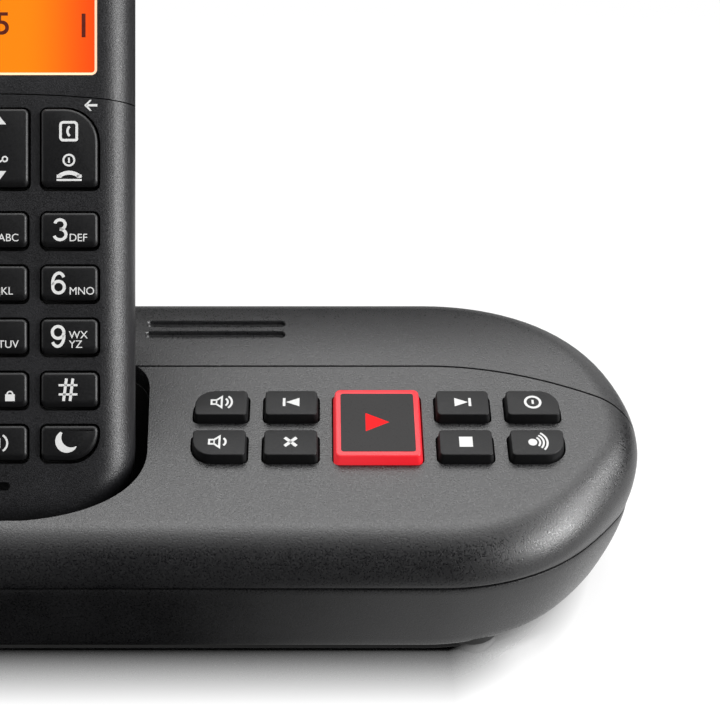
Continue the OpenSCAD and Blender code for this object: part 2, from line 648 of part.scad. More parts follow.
base_key_names = ["volume_up_key", "volume_down_key", "previous_key", "delete_key",
  "next_key", "stop_key", "power_key", "page_key"];
pad_key_names = ["call_key", "navigation_key", "end_key",
  "number_1_key", "number_2_key", "number_3_key",
  "number_4_key", "number_5_key", "number_6_key",
  "number_7_key", "number_8_key", "number_9_key",
  "star_key", "number_0_key", "hash_key",
  "mute_key", "speakerphone_key", "quiet_key"];

base_bottom_housing();
front_panel_cover();
rear_top_cover();
cradle_cup();
charge_contacts();
main_board();
key_board();
key_mat();
play_leds();
speaker_basket();
speaker_cone();
speaker_magnet();
dc_jack();
line_jack();
rubber_feet();
housing_screws();
for (i = [0:len(base_key_names) - 1])
  small_key(small_keys[i]);
play_light_body();
play_cap();
handset_keypad_cover();
handset_display_cover();
handset_rear_cover();
battery_door();
battery_cells();
battery_contacts();
lcd_module();
display_lens();
handset_board();
handset_key_mat();
earpiece_receiver();
ringer_speaker();
microphone();
charge_pads();
handset_screws();
for (i = [0:len(pad_key_names) - 1])
  pad_key(pad_keys[i], i == 1 ? 2.3 : 2.05);
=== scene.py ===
import math

import bmesh
import bpy
from mathutils import Matrix, Vector


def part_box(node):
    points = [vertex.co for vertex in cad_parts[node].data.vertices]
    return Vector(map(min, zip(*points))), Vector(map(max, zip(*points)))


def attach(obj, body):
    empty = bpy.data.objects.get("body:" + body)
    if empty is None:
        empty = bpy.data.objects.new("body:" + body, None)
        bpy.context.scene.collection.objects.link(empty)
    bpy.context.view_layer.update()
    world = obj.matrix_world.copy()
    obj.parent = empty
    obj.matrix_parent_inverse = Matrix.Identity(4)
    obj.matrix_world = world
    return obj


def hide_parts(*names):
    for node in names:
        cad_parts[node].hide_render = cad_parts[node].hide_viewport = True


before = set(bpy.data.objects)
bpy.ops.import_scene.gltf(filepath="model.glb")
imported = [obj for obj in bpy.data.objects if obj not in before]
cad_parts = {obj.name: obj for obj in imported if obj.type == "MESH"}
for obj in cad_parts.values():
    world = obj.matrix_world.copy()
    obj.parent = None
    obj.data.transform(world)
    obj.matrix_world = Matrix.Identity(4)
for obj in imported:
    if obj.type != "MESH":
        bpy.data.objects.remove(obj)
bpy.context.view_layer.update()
mm = 0.001

# ---- places ----
# lengths are millimetres; a piece is shaped in its own axes and then put in place


def move(x, y, z):
    return Matrix.Translation((x, y, z))


def turned(degrees, axis="X"):
    return Matrix.Rotation(math.radians(degrees), 4, axis)


def cosSin(degrees):
    return math.cos(math.radians(degrees)), math.sin(math.radians(degrees))


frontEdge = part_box("base_bottom_housing")[0][1]
baseFrame = move(0, frontEdge, 0) @ Matrix.Scale(mm, 4)
panel = {"height": 22.2, "slope": 15.3}
panelFrame = baseFrame @ move(0, 0, panel["height"]) @ turned(panel["slope"])
dock = {"x": -33.4, "y": 11.7, "z": 17.85, "lean": 30}
handsetFrame = baseFrame @ move(dock["x"], dock["y"], dock["z"]) @ turned(-dock["lean"])
# drawings on the handset's face: x across, y up the handset, z out of the face
faceFrame = handsetFrame @ turned(90)
handsetToBase = baseFrame.inverted() @ handsetFrame

# ---- materials ----


def hexColor(text):
    parts = [int(text[i : i + 2], 16) / 255 for i in (1, 3, 5)]
    return [c / 12.92 if c <= 0.04045 else ((c + 0.055) / 1.055) ** 2.4 for c in parts] + [1]


def addNode(tree, kind, settings=None, **links):
    node = tree.nodes.new("ShaderNode" + kind)
    for name, value in (settings or {}).items():
        if isinstance(name, int) or name in node.inputs:
            node.inputs[name].default_value = value
        else:
            setattr(node, name, value)
    for name, source in links.items():
        socket = int(name[2:]) if name.startswith("in") else name.replace("_", " ")
        tree.links.new(source, node.inputs[socket])
    return node


def newMaterial(name):
    material = bpy.data.materials.new(name)
    material.use_nodes = True
    material.node_tree.nodes.clear()
    return material, material.node_tree


# moulded plastic: a spark-eroded grain breaks up the sheen, over a slow drift of tone
def mouldedPlastic(name, light, dark, roughness, spread, grainMm, bumpMm, ior=1.5):
    material, tree = newMaterial(name)
    place = addNode(tree, "TexCoord").outputs["Object"]
    fine = {"Scale": 1 / (grainMm * mm), "Detail": 3.0, "Roughness": 0.6}
    grain = addNode(tree, "TexNoise", fine, Vector=place).outputs["Fac"]
    drift = addNode(tree, "TexNoise", {"Scale": 1 / (9 * mm), "Detail": 2.0}, Vector=place).outputs["Fac"]
    both = addNode(tree, "Math", {"operation": "MULTIPLY_ADD", 1: 0.4}, in0=drift, in2=grain).outputs[0]
    tone = addNode(tree, "ValToRGB", None, Fac=both)
    for stop, position, color in zip(tone.color_ramp.elements, (0.5, 0.9), (dark, light)):
        stop.position = position
        stop.color = hexColor(color)
    spans = {"From Min": 0.35, "From Max": 0.65, "To Min": roughness - spread, "To Max": roughness + spread}
    rough = addNode(tree, "MapRange", spans, Value=grain).outputs["Result"]
    bump = addNode(tree, "Bump", {"Distance": bumpMm * mm}, Height=grain).outputs["Normal"]
    color = tone.outputs["Color"]
    shader = addNode(tree, "BsdfPrincipled", {"IOR": ior}, Base_Color=color, Roughness=rough, Normal=bump)
    addNode(tree, "OutputMaterial", Surface=shader.outputs[0])
    return material


# a glowing part: its colour runs between two tones along X, over the piece's own width
def glowingPlastic(name, left, right, xLeft, xRight, strength, body, roughness, ior=1.5):
    material, tree = newMaterial(name)
    place = addNode(tree, "TexCoord").outputs["Object"]
    along = addNode(tree, "SeparateXYZ", Vector=place).outputs["X"]
    span = {"From Min": xLeft * mm, "From Max": xRight * mm, "interpolation_type": "SMOOTHSTEP"}
    share = addNode(tree, "MapRange", span, Value=along)
    tone = addNode(tree, "ValToRGB", None, Fac=share.outputs["Result"])
    tone.color_ramp.elements[0].color = hexColor(left)
    tone.color_ramp.elements[1].color = hexColor(right)
    plain = {"Base Color": hexColor(body), "Roughness": roughness, "Emission Strength": strength, "IOR": ior}
    shader = addNode(tree, "BsdfPrincipled", plain, Emission_Color=tone.outputs["Color"])
    addNode(tree, "OutputMaterial", Surface=shader.outputs[0])
    return material


# brushed or plated metal with fine scratches along one way
def platedMetal(name, tint, roughness):
    material, tree = newMaterial(name)
    place = addNode(tree, "TexCoord").outputs["Object"]
    stretch = addNode(tree, "Mapping", {"Scale": (1, 12, 12)}, Vector=place).outputs["Vector"]
    scratch = addNode(tree, "TexNoise", {"Scale": 1 / (1.2 * mm), "Detail": 2.0}, Vector=stretch).outputs["Fac"]
    rough = addNode(tree, "MapRange", {"To Min": roughness - 0.08, "To Max": roughness + 0.1}, Value=scratch)
    metal = {"Base Color": hexColor(tint), "Metallic": 1.0}
    shader = addNode(tree, "BsdfPrincipled", metal, Roughness=rough.outputs["Result"])
    addNode(tree, "OutputMaterial", Surface=shader.outputs[0])
    return material


# name, light and dark tone, roughness and its spread, size of the grain, its height, index
coverAbs = mouldedPlastic("coverAbs", "#1b1b1c", "#08080a", 0.34, 0.1, 0.3, 0.06, 1.62)  # charcoal ABS, spark texture
skirtAbs = mouldedPlastic("skirtAbs", "#1c1c1d", "#0b0b0c", 0.33, 0.1, 0.3, 0.05, 1.6)  # the same ABS, smoother
handsetAbs = mouldedPlastic("handsetAbs", "#242426", "#111112", 0.37, 0.08, 0.24, 0.06)  # black ABS, finer texture
baseKeyAbs = mouldedPlastic("baseKeyAbs", "#101011", "#0b0b0c", 0.5, 0.06, 0.3, 0.02, 1.37)  # satin black keys
padKeyAbs = mouldedPlastic("padKeyAbs", "#121213", "#0d0d0e", 0.42, 0.05, 0.3, 0.012, 1.4)  # smoother black keys
cupAbs = mouldedPlastic("cupAbs", "#101011", "#09090a", 0.55, 0.06, 0.4, 0.02)  # black cup
capAcrylic = mouldedPlastic("capAcrylic", "#2a2929", "#252424", 0.3, 0.03, 0.3, 0.003, 1.22)  # smoked smooth cap
whitePrint = mouldedPlastic("whitePrint", "#d0d0cf", "#c6c6c5", 0.5, 0.05, 0.2, 0.004)  # screen-printed white ink
footRubber = mouldedPlastic("footRubber", "#161616", "#0d0d0d", 0.8, 0.05, 0.5, 0.03)  # black rubber
matSilicone = mouldedPlastic("matSilicone", "#1b1b1b", "#121212", 0.7, 0.05, 0.8, 0.02)  # carbon-filled silicone
boardResin = mouldedPlastic("boardResin", "#1d5a36", "#123f25", 0.35, 0.1, 2.2, 0.01)  # green solder mask
socketNylon = mouldedPlastic("socketNylon", "#2b2b2c", "#1b1b1c", 0.5, 0.05, 0.4, 0.01)
conePaper = mouldedPlastic("conePaper", "#0c0c0c", "#070707", 0.9, 0.05, 0.5, 0.05, 1.2)  # black treated paper
cellSleeve = mouldedPlastic("cellSleeve", "#2f7a4c", "#205c38", 0.35, 0.04, 3.0, 0.004)
contactNickel = platedMetal("contactNickel", "#d8d4c8", 0.28)
screwZinc = platedMetal("screwZinc", "#b9bbc0", 0.35)
speakerSteel = mouldedPlastic("speakerSteel", "#131314", "#0c0c0d", 0.6, 0.08, 0.6, 0.02)  # steel in black stove enamel
print("materials ready")

# ---- mesh helpers ----


# rings of equal length, each grown from the last
def loft(bm, rings, capFirst=True, capLast=True):
    loop = first = [bm.verts.new(p) for p in rings[0]]
    edges = [bm.edges.new((loop[i - 1], loop[i])) for i in range(len(loop))]
    for ring in rings[1:]:
        made = bmesh.ops.extrude_edge_only(bm, edges=edges)["geom"]
        fresh = {g for g in made if isinstance(g, bmesh.types.BMVert)}
        loop = [next(e.other_vert(v) for e in v.link_edges if e.other_vert(v) in fresh) for v in loop]
        for vert, point in zip(loop, ring):
            vert.co = point
        edges = [bm.edges.get((loop[i - 1], loop[i])) for i in range(len(loop))]
    if capFirst:
        bm.faces.new(first)
    if capLast:
        bm.faces.new(loop)


# a flat outline pulled up from z, closed on both sides
def addPrism(bm, outline, z, height):
    face = bm.faces.new([bm.verts.new((p[0], p[1], z)) for p in outline])
    made = bmesh.ops.extrude_face_region(bm, geom=[face])["geom"]
    bmesh.ops.translate(bm, vec=(0, 0, height), verts=[g for g in made if isinstance(g, bmesh.types.BMVert)])


def cutByPlane(bm, point, normal):
    geom = bm.verts[:] + bm.edges[:] + bm.faces[:]
    cut = bmesh.ops.bisect_plane(bm, geom=geom, plane_co=point, plane_no=normal, clear_outer=True)["geom_cut"]
    bmesh.ops.edgeloop_fill(bm, edges=[g for g in cut if isinstance(g, bmesh.types.BMEdge)])


def toObject(bm, name):
    bmesh.ops.recalc_face_normals(bm, faces=bm.faces)
    mesh = bpy.data.meshes.new(name)
    bm.to_mesh(mesh)
    bm.free()
    made = bpy.data.objects.new(name, mesh)
    bpy.context.scene.collection.objects.link(made)
    return made


# the cutters are used up
def combine(piece, operation, *cutters):
    for cutter in cutters:
        step = piece.modifiers.new("combine", "BOOLEAN")
        step.operation = operation
        step.solver = "EXACT"
        step.object = cutter
    bpy.context.view_layer.update()
    result = bpy.data.meshes.new_from_object(piece.evaluated_get(bpy.context.evaluated_depsgraph_get()))
    result.name = piece.name
    piece.modifiers.clear()
    piece.data = result
    for cutter in cutters:
        bpy.data.objects.remove(cutter)


def finishPiece(piece, place, body, material, replaced=(), sharpAngle=32):
    piece.data.transform(place)
    piece.data.materials.clear()
    piece.data.materials.append(material)
    piece.data.shade_smooth()
    piece.data.set_sharp_from_angle(angle=math.radians(sharpAngle))
    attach(piece, body)
    if replaced:
        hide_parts(*replaced)
    return piece


def arcPoints(cx, cy, radius, start, end, steps):
    points = []
    for i in range(steps + 1):
        c, s = cosSin(start + (end - start) * i / steps)
        points.append((cx + radius * c, cy + radius * s))
    return points


# rounded rectangle about the middle, with a radius for each corner from the lower left, drawn in by inset
def plate(width, height, radii, inset=0.0, steps=7):
    w, h = width / 2 - inset, height / 2 - inset
    a, b, c, d = (max(0.08, r - inset) for r in radii)
    return (
        arcPoints(-w + a, -h + a, a, 180, 270, steps)
        + arcPoints(w - b, -h + b, b, 270, 360, steps)
        + arcPoints(w - c, h - c, c, 0, 90, steps)
        + arcPoints(-w + d, h - d, d, 90, 180, steps)
    )


def shifted(outline, x, y):
    return [(p[0] + x, p[1] + y) for p in outline]


# a rounded plate about x and y, pulled up from z
def addPlate(bm, width, height, radii, x, y, z, tall, inset=0.0):
    addPrism(bm, shifted(plate(width, height, radii, inset), x, y), z, tall)


# ---- base covers ----

base = {
    "width": 163.5,
    "bulge": 1.13,
    "middle": 31.5,
    "seam": 14.8,
    "seamGap": 0.3,
    "edgeRadius": 6.9,
    "wall": 2.2,
    "endInset": 36.45,
    "split": 43.2,
    "splitGap": 0.2,
    "splitStraight": 43,
    "splitBend": 0.0077,
    "crest": 44,
    "crestCurve": 0.0066,
    "topMiddle": 33,
    "topInset": 17,
    "topFlat": 0.6,
    "tallWall": 9,
    "radii": (35.4, 75, 19, 25.4, 37.5),
    "turns": (-90, -42.5, -33.6, 0, 14.9, 90),
    "steps": (14, 4, 10, 5, 20),
}


# the plan outline: five arcs tangent to each other, by the direction they face from -90 (front) to 90 (rear)
def outlineSamples():
    radii, turns = base["radii"], base["turns"]
    cx, cy = base["width"] / 2 - base["bulge"] - base["endInset"], radii[0]
    right = [(cx, cy, radii[0], turns[0])]
    for k, steps in enumerate(base["steps"]):
        if k:
            c, s = cosSin(turns[k])
            cx += (radii[k - 1] - radii[k]) * c
            cy += (radii[k - 1] - radii[k]) * s
        step = (turns[k + 1] - turns[k]) / steps
        right += [(cx, cy, radii[k], turns[k] + step * i) for i in range(1, steps + 1)]
    return [(1, *s) for s in right] + [(-1, *s) for s in reversed(right)]


samples = outlineSamples()


def planPoint(sample, inset):
    side, cx, cy, radius, facing = sample
    c, s = cosSin(facing)
    return side * (cx + (radius - inset) * c), cy + (radius - inset) * s


def topHeight(y):
    fall = base["crestCurve"] * max(0, y - base["crest"]) ** 2
    return panel["height"] + math.tan(math.radians(panel["slope"])) * y - fall


# the wall above the seam swells out where it is tall
def swell(sample):
    tall = topHeight(planPoint(sample, 0)[1]) - base["edgeRadius"] - base["seam"] - base["seamGap"]
    return base["bulge"] * cosSin(90 * min(max(tall, 0), base["tallWall"]) / base["tallWall"])[1]


def flatRing(inset, z):
    return [(*planPoint(s, inset), z) for s in samples]


def wallRing(thickness, share, rise):
    ring = []
    low = base["seam"] + base["seamGap"] + rise
    out = cosSin(90 * share)[1]
    for s in samples:
        x, y = planPoint(s, thickness - swell(s) * out)
        ring.append((x, y, low + share * (topHeight(y) - base["edgeRadius"] - low)))
    return ring


# a ring of the rounded top, with thickness of plastic outside it
def domeRing(thickness, angle):
    r = base["edgeRadius"] - thickness
    inwards, upwards = cosSin(angle)
    ring = []
    for s in samples:
        x, y = planPoint(s, thickness + r * (1 - inwards) - swell(s))
        ring.append((x, y, topHeight(y) - thickness - r * (1 - upwards)))
    return ring


def topRing(thickness, inset, shrink=1.0):
    ring = []
    for s in samples:
        x, y = planPoint(s, inset)
        y = base["topMiddle"] + shrink * (y - base["topMiddle"])
        ring.append((shrink * x, y, topHeight(y) - thickness))
    return ring


def coverShell():
    bm = bmesh.new()
    low = base["seam"] + base["seamGap"]
    wall, last, flat = base["wall"], base["topInset"], base["topFlat"]
    rings = [topRing(wall, last, flat), topRing(wall, last), topRing(wall, 13)]
    rings += [domeRing(wall, a) for a in range(90, -1, -15)]
    rings += [wallRing(wall, 0.5, 0), flatRing(wall, low), flatRing(0.14, low)]
    rings += [wallRing(0, share, 0.14) for share in (0, 0.2, 0.4, 0.6, 0.8)]
    rings += [domeRing(0, a) for a in range(0, 91, 5)]
    rings += [topRing(0, i) for i in (7.6, 8.5, 9.7, 11, 12.5, 14, 15.5, last)]
    rings += [topRing(0, last, 0.85), topRing(0, last, flat)]
    loft(bm, rings)
    return bm


# the line between the two covers curves forward at the ends
def splitLine(x):
    return base["split"] - base["splitBend"] * max(0, abs(x) - base["splitStraight"]) ** 2


def behindSplit(gap):
    bm = bmesh.new()
    line = [(x, splitLine(x) + gap) for x in (100, *range(88, 42, -2), *range(-43, -89, -2), -100)]
    addPrism(bm, line + [(-100, 200), (100, 200)], -20, 120)
    return toObject(bm, "behindSplit")


recess = {
    "half": 25.7,
    "front": 7.2,
    "middle": 4,
    "back": 19.6,
    "corner": 5,
    "sideInset": 0.7,
    "power": 2.2,
    "floor": -0.5,
    "low": 11,
    "cup": 1.6,
}


# section across the handset: x across, y into the handset from its face
def recessSection(grow, steps=44):
    points = []
    power = 2 / recess["power"]
    for i in range(steps + 1):
        c, s = cosSin(-180 + 180 * i / steps)
        x = math.copysign((recess["half"] + grow) * abs(c) ** power, c)
        points.append((x, recess["middle"] - (recess["front"] + recess["middle"] + grow) * abs(s) ** power))
    side = recess["half"] - recess["corner"] - recess["sideInset"]
    depth = recess["back"] - recess["corner"]
    points += arcPoints(side, depth, recess["corner"] + grow, 0, 90, 12)
    points += arcPoints(-side, depth, recess["corner"] + grow, 90, 180, 12)
    return points


# the recess as a solid in the base's axes
def recessSolid(grow, floor, front, low):
    bm = bmesh.new()
    addPrism(bm, recessSection(grow), floor, 60)
    bmesh.ops.transform(bm, matrix=handsetToBase, verts=bm.verts)
    cutByPlane(bm, (0, front, 0), (0, -1, 0))
    cutByPlane(bm, (0, 0, low), (0, 0, -1))
    return bm


def recessCutter():
    return toObject(recessSolid(0, recess["floor"], recess["front"], recess["low"]), "recess")


keyField = {
    "x": 33.6,
    "p": 28.65,
    "w": 9.9,
    "h": 6.2,
    "inner": 15.65,
    "outer": 28.45,
    "pitch": 9.7,
    "gap": 0.3,
    "low": -3.2,
    "rise": 2.0,
    "small": 0.8,
    "round": 3.6,
}
playKey = {"w": 15.9, "h": 16.5, "radii": [1.0] * 4, "capW": 13.3, "capH": 14.1, "capRadii": [0.5] * 4}


def keyPlace(column, row):
    far = keyField["outer"] if abs(column) == 2 else keyField["inner"]
    return keyField["x"] + math.copysign(far, column), keyField["p"] + (row - 0.5) * keyField["pitch"]


# name: column, row and which corner is the round outer one, counted from the lower left
baseKeys = {
    "volume_up_key": (-2, 1, 3),
    "volume_down_key": (-2, 0, 0),
    "previous_key": (-1, 1, None),
    "delete_key": (-1, 0, None),
    "next_key": (1, 1, None),
    "stop_key": (1, 0, None),
    "power_key": (2, 1, 2),
    "page_key": (2, 0, 1),
}


def cornerRadii(roundCorner):
    return [keyField["round"] if i == roundCorner else keyField["small"] for i in range(4)]


# how far cutters reach below and past a face
through = {"low": -6, "tall": 9}


def panelCutter():
    bm = bmesh.new()
    low, tall, gap = through["low"], through["tall"], -keyField["gap"]
    for column, row, roundCorner in baseKeys.values():
        x, p = keyPlace(column, row)
        addPlate(bm, keyField["w"], keyField["h"], cornerRadii(roundCorner), x, p, low, tall, gap)
    addPlate(bm, playKey["w"], playKey["h"], playKey["radii"], keyField["x"], keyField["p"], low, tall, gap)
    bmesh.ops.transform(bm, matrix=baseFrame.inverted() @ panelFrame, verts=bm.verts)
    return toObject(bm, "keyHoles")


frontCover = toObject(coverShell(), "frontPanelCover")
combine(frontCover, "DIFFERENCE", behindSplit(-base["splitGap"]), panelCutter(), recessCutter())
finishPiece(frontCover, baseFrame, "base", coverAbs, ["front_panel_cover"])

slots = {
    "x": 3,
    "ys": (51.95, 55.3),
    "length": 26.8,
    "width": 1.8,
    "radii": [0.85] * 4,
    "depth": 1.05,
    "edge": 0.3,
    "through": 19.8,
    "throughWidth": 1.45,
    "shift": 0.6,
}


# a shallow groove with softened edges that follows the slope, and a slot through its floor
def slotCutter(goesThrough):
    bm = bmesh.new()
    deep, edge = -slots["depth"], -slots["edge"]
    levels = ((deep, 0.35), (deep + 0.3, 0.06), (edge, 0), (-0.1, -0.08), (0, -0.2), (0.5, -0.6))
    for y in slots["ys"]:
        if goesThrough:
            size = (slots["through"], slots["throughWidth"], [0.5] * 4)
            addPlate(bm, *size, slots["x"], y - slots["shift"], topHeight(y) - 6, 8)
            continue
        rings = []
        for level, inset in levels:
            outline = shifted(plate(slots["length"], slots["width"], slots["radii"], inset), slots["x"], y)
            rings.append([(px, py, topHeight(py) + level) for px, py in outline])
        loft(bm, rings)
    return toObject(bm, "slots")


rearCover = toObject(coverShell(), "rearTopCover")
combine(rearCover, "INTERSECT", behindSplit(base["splitGap"]))
combine(rearCover, "DIFFERENCE", slotCutter(False), slotCutter(True), recessCutter())
finishPiece(rearCover, baseFrame, "base", coverAbs, ["rear_top_cover"])
print("base covers ready")

# ---- bottom housing, feet and cup ----

skirt = {"bottom": 1.0, "floor": 2.2, "half": 82, "insetX": 4.83, "insetY": 1.73}


# the outer wall curves in towards the bottom
def skirtRing(inset, z, extra=0.0):
    lean = ((base["seam"] - z) / (base["seam"] - skirt["bottom"])) ** 1.5
    ring = []
    for s in samples:
        x, y = planPoint(s, inset)
        y = base["middle"] + (y - base["middle"]) * (1 - (skirt["insetY"] * lean + extra) / base["middle"])
        ring.append((x * (1 - (skirt["insetX"] * lean + extra) / skirt["half"]), y, z))
    return ring


sockets = {"lineX": 24, "lineW": 10.6, "lineZ": 10.1, "lineH": 7.2, "powerX": 42, "powerZ": 10, "powerR": 3.4}
feet = {"spots": ((-50, 8.2), (50, 8.2), (-50, 56.5), (50, 56.5)), "radius": 5.2, "top": 1.6}
housingScrews = {"spots": ((-72.2, 31), (72.2, 31), (-60, 49), (60, 49)), "radius": 3.1, "deep": 3.1}
contactSpots = ((-9, 7.5), (9, 7.5))


def addRod(bm, x, y, z, radius, height, segments=40, axis="Z"):
    place = move(x, y, z) @ turned(0 if axis == "Z" else -90) @ move(0, 0, height / 2)
    sizes = {"segments": segments, "radius1": radius, "radius2": radius, "depth": height}
    bmesh.ops.create_cone(bm, cap_ends=True, matrix=place, **sizes)


bm = bmesh.new()
wall, seam, low = base["wall"], base["seam"], skirt["bottom"]
rings = [skirtRing(wall, low + skirt["floor"]), skirtRing(wall, 8), skirtRing(wall, seam)]
rings += [skirtRing(0.3, seam), skirtRing(0.08, seam - 0.08), skirtRing(0, seam - 0.3)]
rings += [skirtRing(0, z) for z in (13.4, 12, 10.5, 9, 7.5, 6, 4.5, 3, 1.7)]
rings += [skirtRing(0, low + 0.2, 0.2), skirtRing(0, low, 0.7)]
loft(bm, rings)
bottomHousing = toObject(bm, "bottomHousing")
bm = bmesh.new()
lineHole = move(sockets["lineX"], 64, sockets["lineZ"]) @ Matrix.Diagonal((sockets["lineW"], 12, sockets["lineH"], 1))
bmesh.ops.create_cube(bm, size=1, matrix=lineHole)
addRod(bm, sockets["powerX"], 58, sockets["powerZ"], sockets["powerR"], 12, axis="Y")
for x, y in feet["spots"]:
    addRod(bm, x, y, 0, feet["radius"] + 0.15, feet["top"])
for x, y in housingScrews["spots"]:
    addRod(bm, x, y, 0, housingScrews["radius"], housingScrews["deep"])
combine(bottomHousing, "DIFFERENCE", toObject(bm, "housingHoles"))
finishPiece(bottomHousing, baseFrame, "base", skirtAbs, ["base_bottom_housing"])

bm = bmesh.new()
for x, y in feet["spots"]:
    addRod(bm, x, y, 0, feet["radius"], feet["top"], 48)
bottoms = [f for f in bm.faces if len(f.verts) > 4 and f.verts[0].co.z < 0.1]
rims = [e for f in bottoms for e in f.edges]
bmesh.ops.bevel(bm, geom=rims, offset=0.4, segments=3, affect="EDGES", profile=0.5, material=-1)
finishPiece(toObject(bm, "rubberFeet"), baseFrame, "base", footRubber, ["rubber_feet"])

bm = recessSolid(recess["cup"], recess["floor"] - recess["cup"], recess["front"] - 1.4, recess["low"] - recess["cup"])
c, s = cosSin(panel["slope"])
cutByPlane(bm, (0, 0, panel["height"] - base["wall"] - 0.25), (0, -s, c))
cup = toObject(bm, "cradleCup")
bm = bmesh.new()
for x, y in contactSpots:
    addRod(bm, x, y, -6, 1.6, 8)
bmesh.ops.transform(bm, matrix=handsetToBase, verts=bm.verts)
combine(cup, "DIFFERENCE", recessCutter(), toObject(bm, "contactHoles"))
finishPiece(cup, baseFrame, "base", cupAbs, ["cradle_cup"])
print("housing, feet and cup ready")

# ---- keys on the base ----


# the walls draw in a little towards a top with a rounded edge
def keyBody(bm, width, height, radii, draft, edge):
    top = keyField["rise"]

    def ring(z, share, inset):
        outline = plate(width - 2 * draft[0] * share, height - 2 * draft[1] * share, radii, inset)
        return [(x, y, z) for x, y in outline]

    rings = [ring(keyField["low"], 0, 0), ring(0, 0, 0), ring(top - edge, 1, 0.02)]
    for angle in (22.5, 45, 67.5, 90):
        c, s = cosSin(angle)
        rings.append(ring(top - edge * (1 - s), 1, edge * (1 - c)))
    loft(bm, rings)


for name, (column, row, roundCorner) in baseKeys.items():
    bm = bmesh.new()
    keyBody(bm, keyField["w"], keyField["h"], cornerRadii(roundCorner), (0.2, 0.1), 0.22)
    cap = toObject(bm, name.replace("_key", "Cap"))
    finishPiece(cap, panelFrame @ move(*keyPlace(column, row), 0), name, baseKeyAbs, [name], 50)

# the lit play mark
playSignGlow = glowingPlastic("playSignGlow", "#ff2224", "#ff1c1e", 25, 42, 0.95, "#701014", 0.5, 1.15)
# clear red acrylic lit from inside
playGlow = glowingPlastic("playGlow", "#ff3a42", "#ff222c", 25, 42, 0.5, "#b01c26", 0.35, 1.45)
playPlace = panelFrame @ move(keyField["x"], keyField["p"], 0)


def triangle(grow=0.0):
    return [(-2.15 - grow, -2.2 - 1.6 * grow), (2.1 + 1.6 * grow, 0), (-2.15 - grow, 2.2 + 1.6 * grow)]


bm = bmesh.new()
keyBody(bm, playKey["w"], playKey["h"], playKey["radii"], (0.3, 0.15), 0.25)
playBody = toObject(bm, "playLightBody")
capShape = (playKey["capW"], playKey["capH"], playKey["capRadii"], 0, 0)
bm = bmesh.new()
addPlate(bm, *capShape, keyField["rise"] - 0.6, 2, -0.03)
combine(playBody, "DIFFERENCE", toObject(bm, "capPocket"))
bm = bmesh.new()
addPrism(bm, triangle(), keyField["rise"] - 0.59, 0.62)
finishPiece(toObject(bm, "playSign"), playPlace, "play_key", playSignGlow)
finishPiece(playBody, playPlace, "play_key", playGlow, ["play_light_body"], 40)
bm = bmesh.new()
addPlate(bm, *capShape, keyField["rise"] - 0.57, 0.6)
playCap = toObject(bm, "playCap")
bm = bmesh.new()
addPrism(bm, triangle(0.03), 0, 5)
combine(playCap, "DIFFERENCE", toObject(bm, "signHole"))
finishPiece(playCap, playPlace, "play_key", capAcrylic, ["play_cap"])

# ---- printed signs ----

printThick = 0.04


# signs are drawn with their backs at zero
def addBand(bm, cx, cy, outer, inner, start, end, steps=14):
    rim = arcPoints(cx, cy, outer, start, end, steps)
    addShape(bm, rim + arcPoints(cx, cy, inner, end, start, steps))


def addRing(bm, cx, cy, outer, inner):
    addBand(bm, cx, cy, outer, inner, 0, 180)
    addBand(bm, cx, cy, outer, inner, 180, 360)


def addShape(bm, points):
    addPrism(bm, points, 0, printThick)


def addBox(bm, x0, y0, x1, y1):
    addShape(bm, [(x0, y0), (x1, y0), (x1, y1), (x0, y1)])


# a line of even width through points; a closed one joins its ends
def addStroke(bm, points, width, closed=False):
    n = len(points)
    for i in range(n if closed else n - 1):
        a, b = points[i], points[(i + 1) % n]
        run = Vector((b[0] - a[0], b[1] - a[1]))
        side = Vector((-run.y, run.x)).normalized() * (width / 2)
        joins = []
        for k in (i, i + 1):
            before, here, after = points[(k - 1) % n], points[k % n], points[(k + 1) % n]
            if not closed and k in (0, n - 1):
                joins.append(side)
                continue
            one = Vector((here[0] - before[0], here[1] - before[1])).normalized()
            two = Vector((after[0] - here[0], after[1] - here[1])).normalized()
            across = Vector((-(one + two).y, (one + two).x)).normalized()
            joins.append(across * (width / 2) / max(0.4, across.dot(side.normalized())))
        corners = [(a[0] + joins[0].x, a[1] + joins[0].y), (a[0] - joins[0].x, a[1] - joins[0].y)]
        corners += [(b[0] - joins[1].x, b[1] - joins[1].y), (b[0] + joins[1].x, b[1] + joins[1].y)]
        addShape(bm, corners)


def ovalPoints(cx, cy, rx, ry, start, end, steps=16):
    return [(cx + rx * x, cy + ry * y) for x, y in arcPoints(0, 0, 1, start, end, steps)]


def addText(bm, text, size, x, y, weight=0.0, align="LEFT"):
    curve = bpy.data.curves.new("lettering", "FONT")
    curve.body = text
    curve.size = size
    curve.offset = weight
    curve.extrude = printThick / 2
    curve.align_x = align
    holder = bpy.data.objects.new("lettering", curve)
    bpy.context.scene.collection.objects.link(holder)
    bpy.context.view_layer.update()
    mesh = bpy.data.meshes.new_from_object(holder.evaluated_get(bpy.context.evaluated_depsgraph_get()))
    mesh.transform(move(x, y, printThick / 2))
    bm.from_mesh(mesh)
    bpy.data.objects.remove(holder)
    bpy.data.curves.remove(curve)
    bpy.data.meshes.remove(mesh)


def speakerSign(bm, waves):
    addStroke(bm, [(-1.75, -0.5), (-0.85, -0.5), (0.1, -1.3), (0.1, 1.3), (-0.85, 0.5), (-1.75, 0.5)], 0.36, True)
    addStroke(bm, [(-0.85, -0.5), (-0.85, 0.5)], 0.25)
    for i in range(waves):
        addBand(bm, 0.1, 0, 1.3 + 0.75 * i, 0.92 + 0.75 * i, -50, 50)


def skipSign(bm, side):
    addBox(bm, side * 1.3 - 0.24, -1.0, side * 1.3 + 0.24, 1.0)
    addShape(bm, [(side * 0.95, 0), (side * -1.5, side * 1.05), (side * -1.5, side * -1.05)])


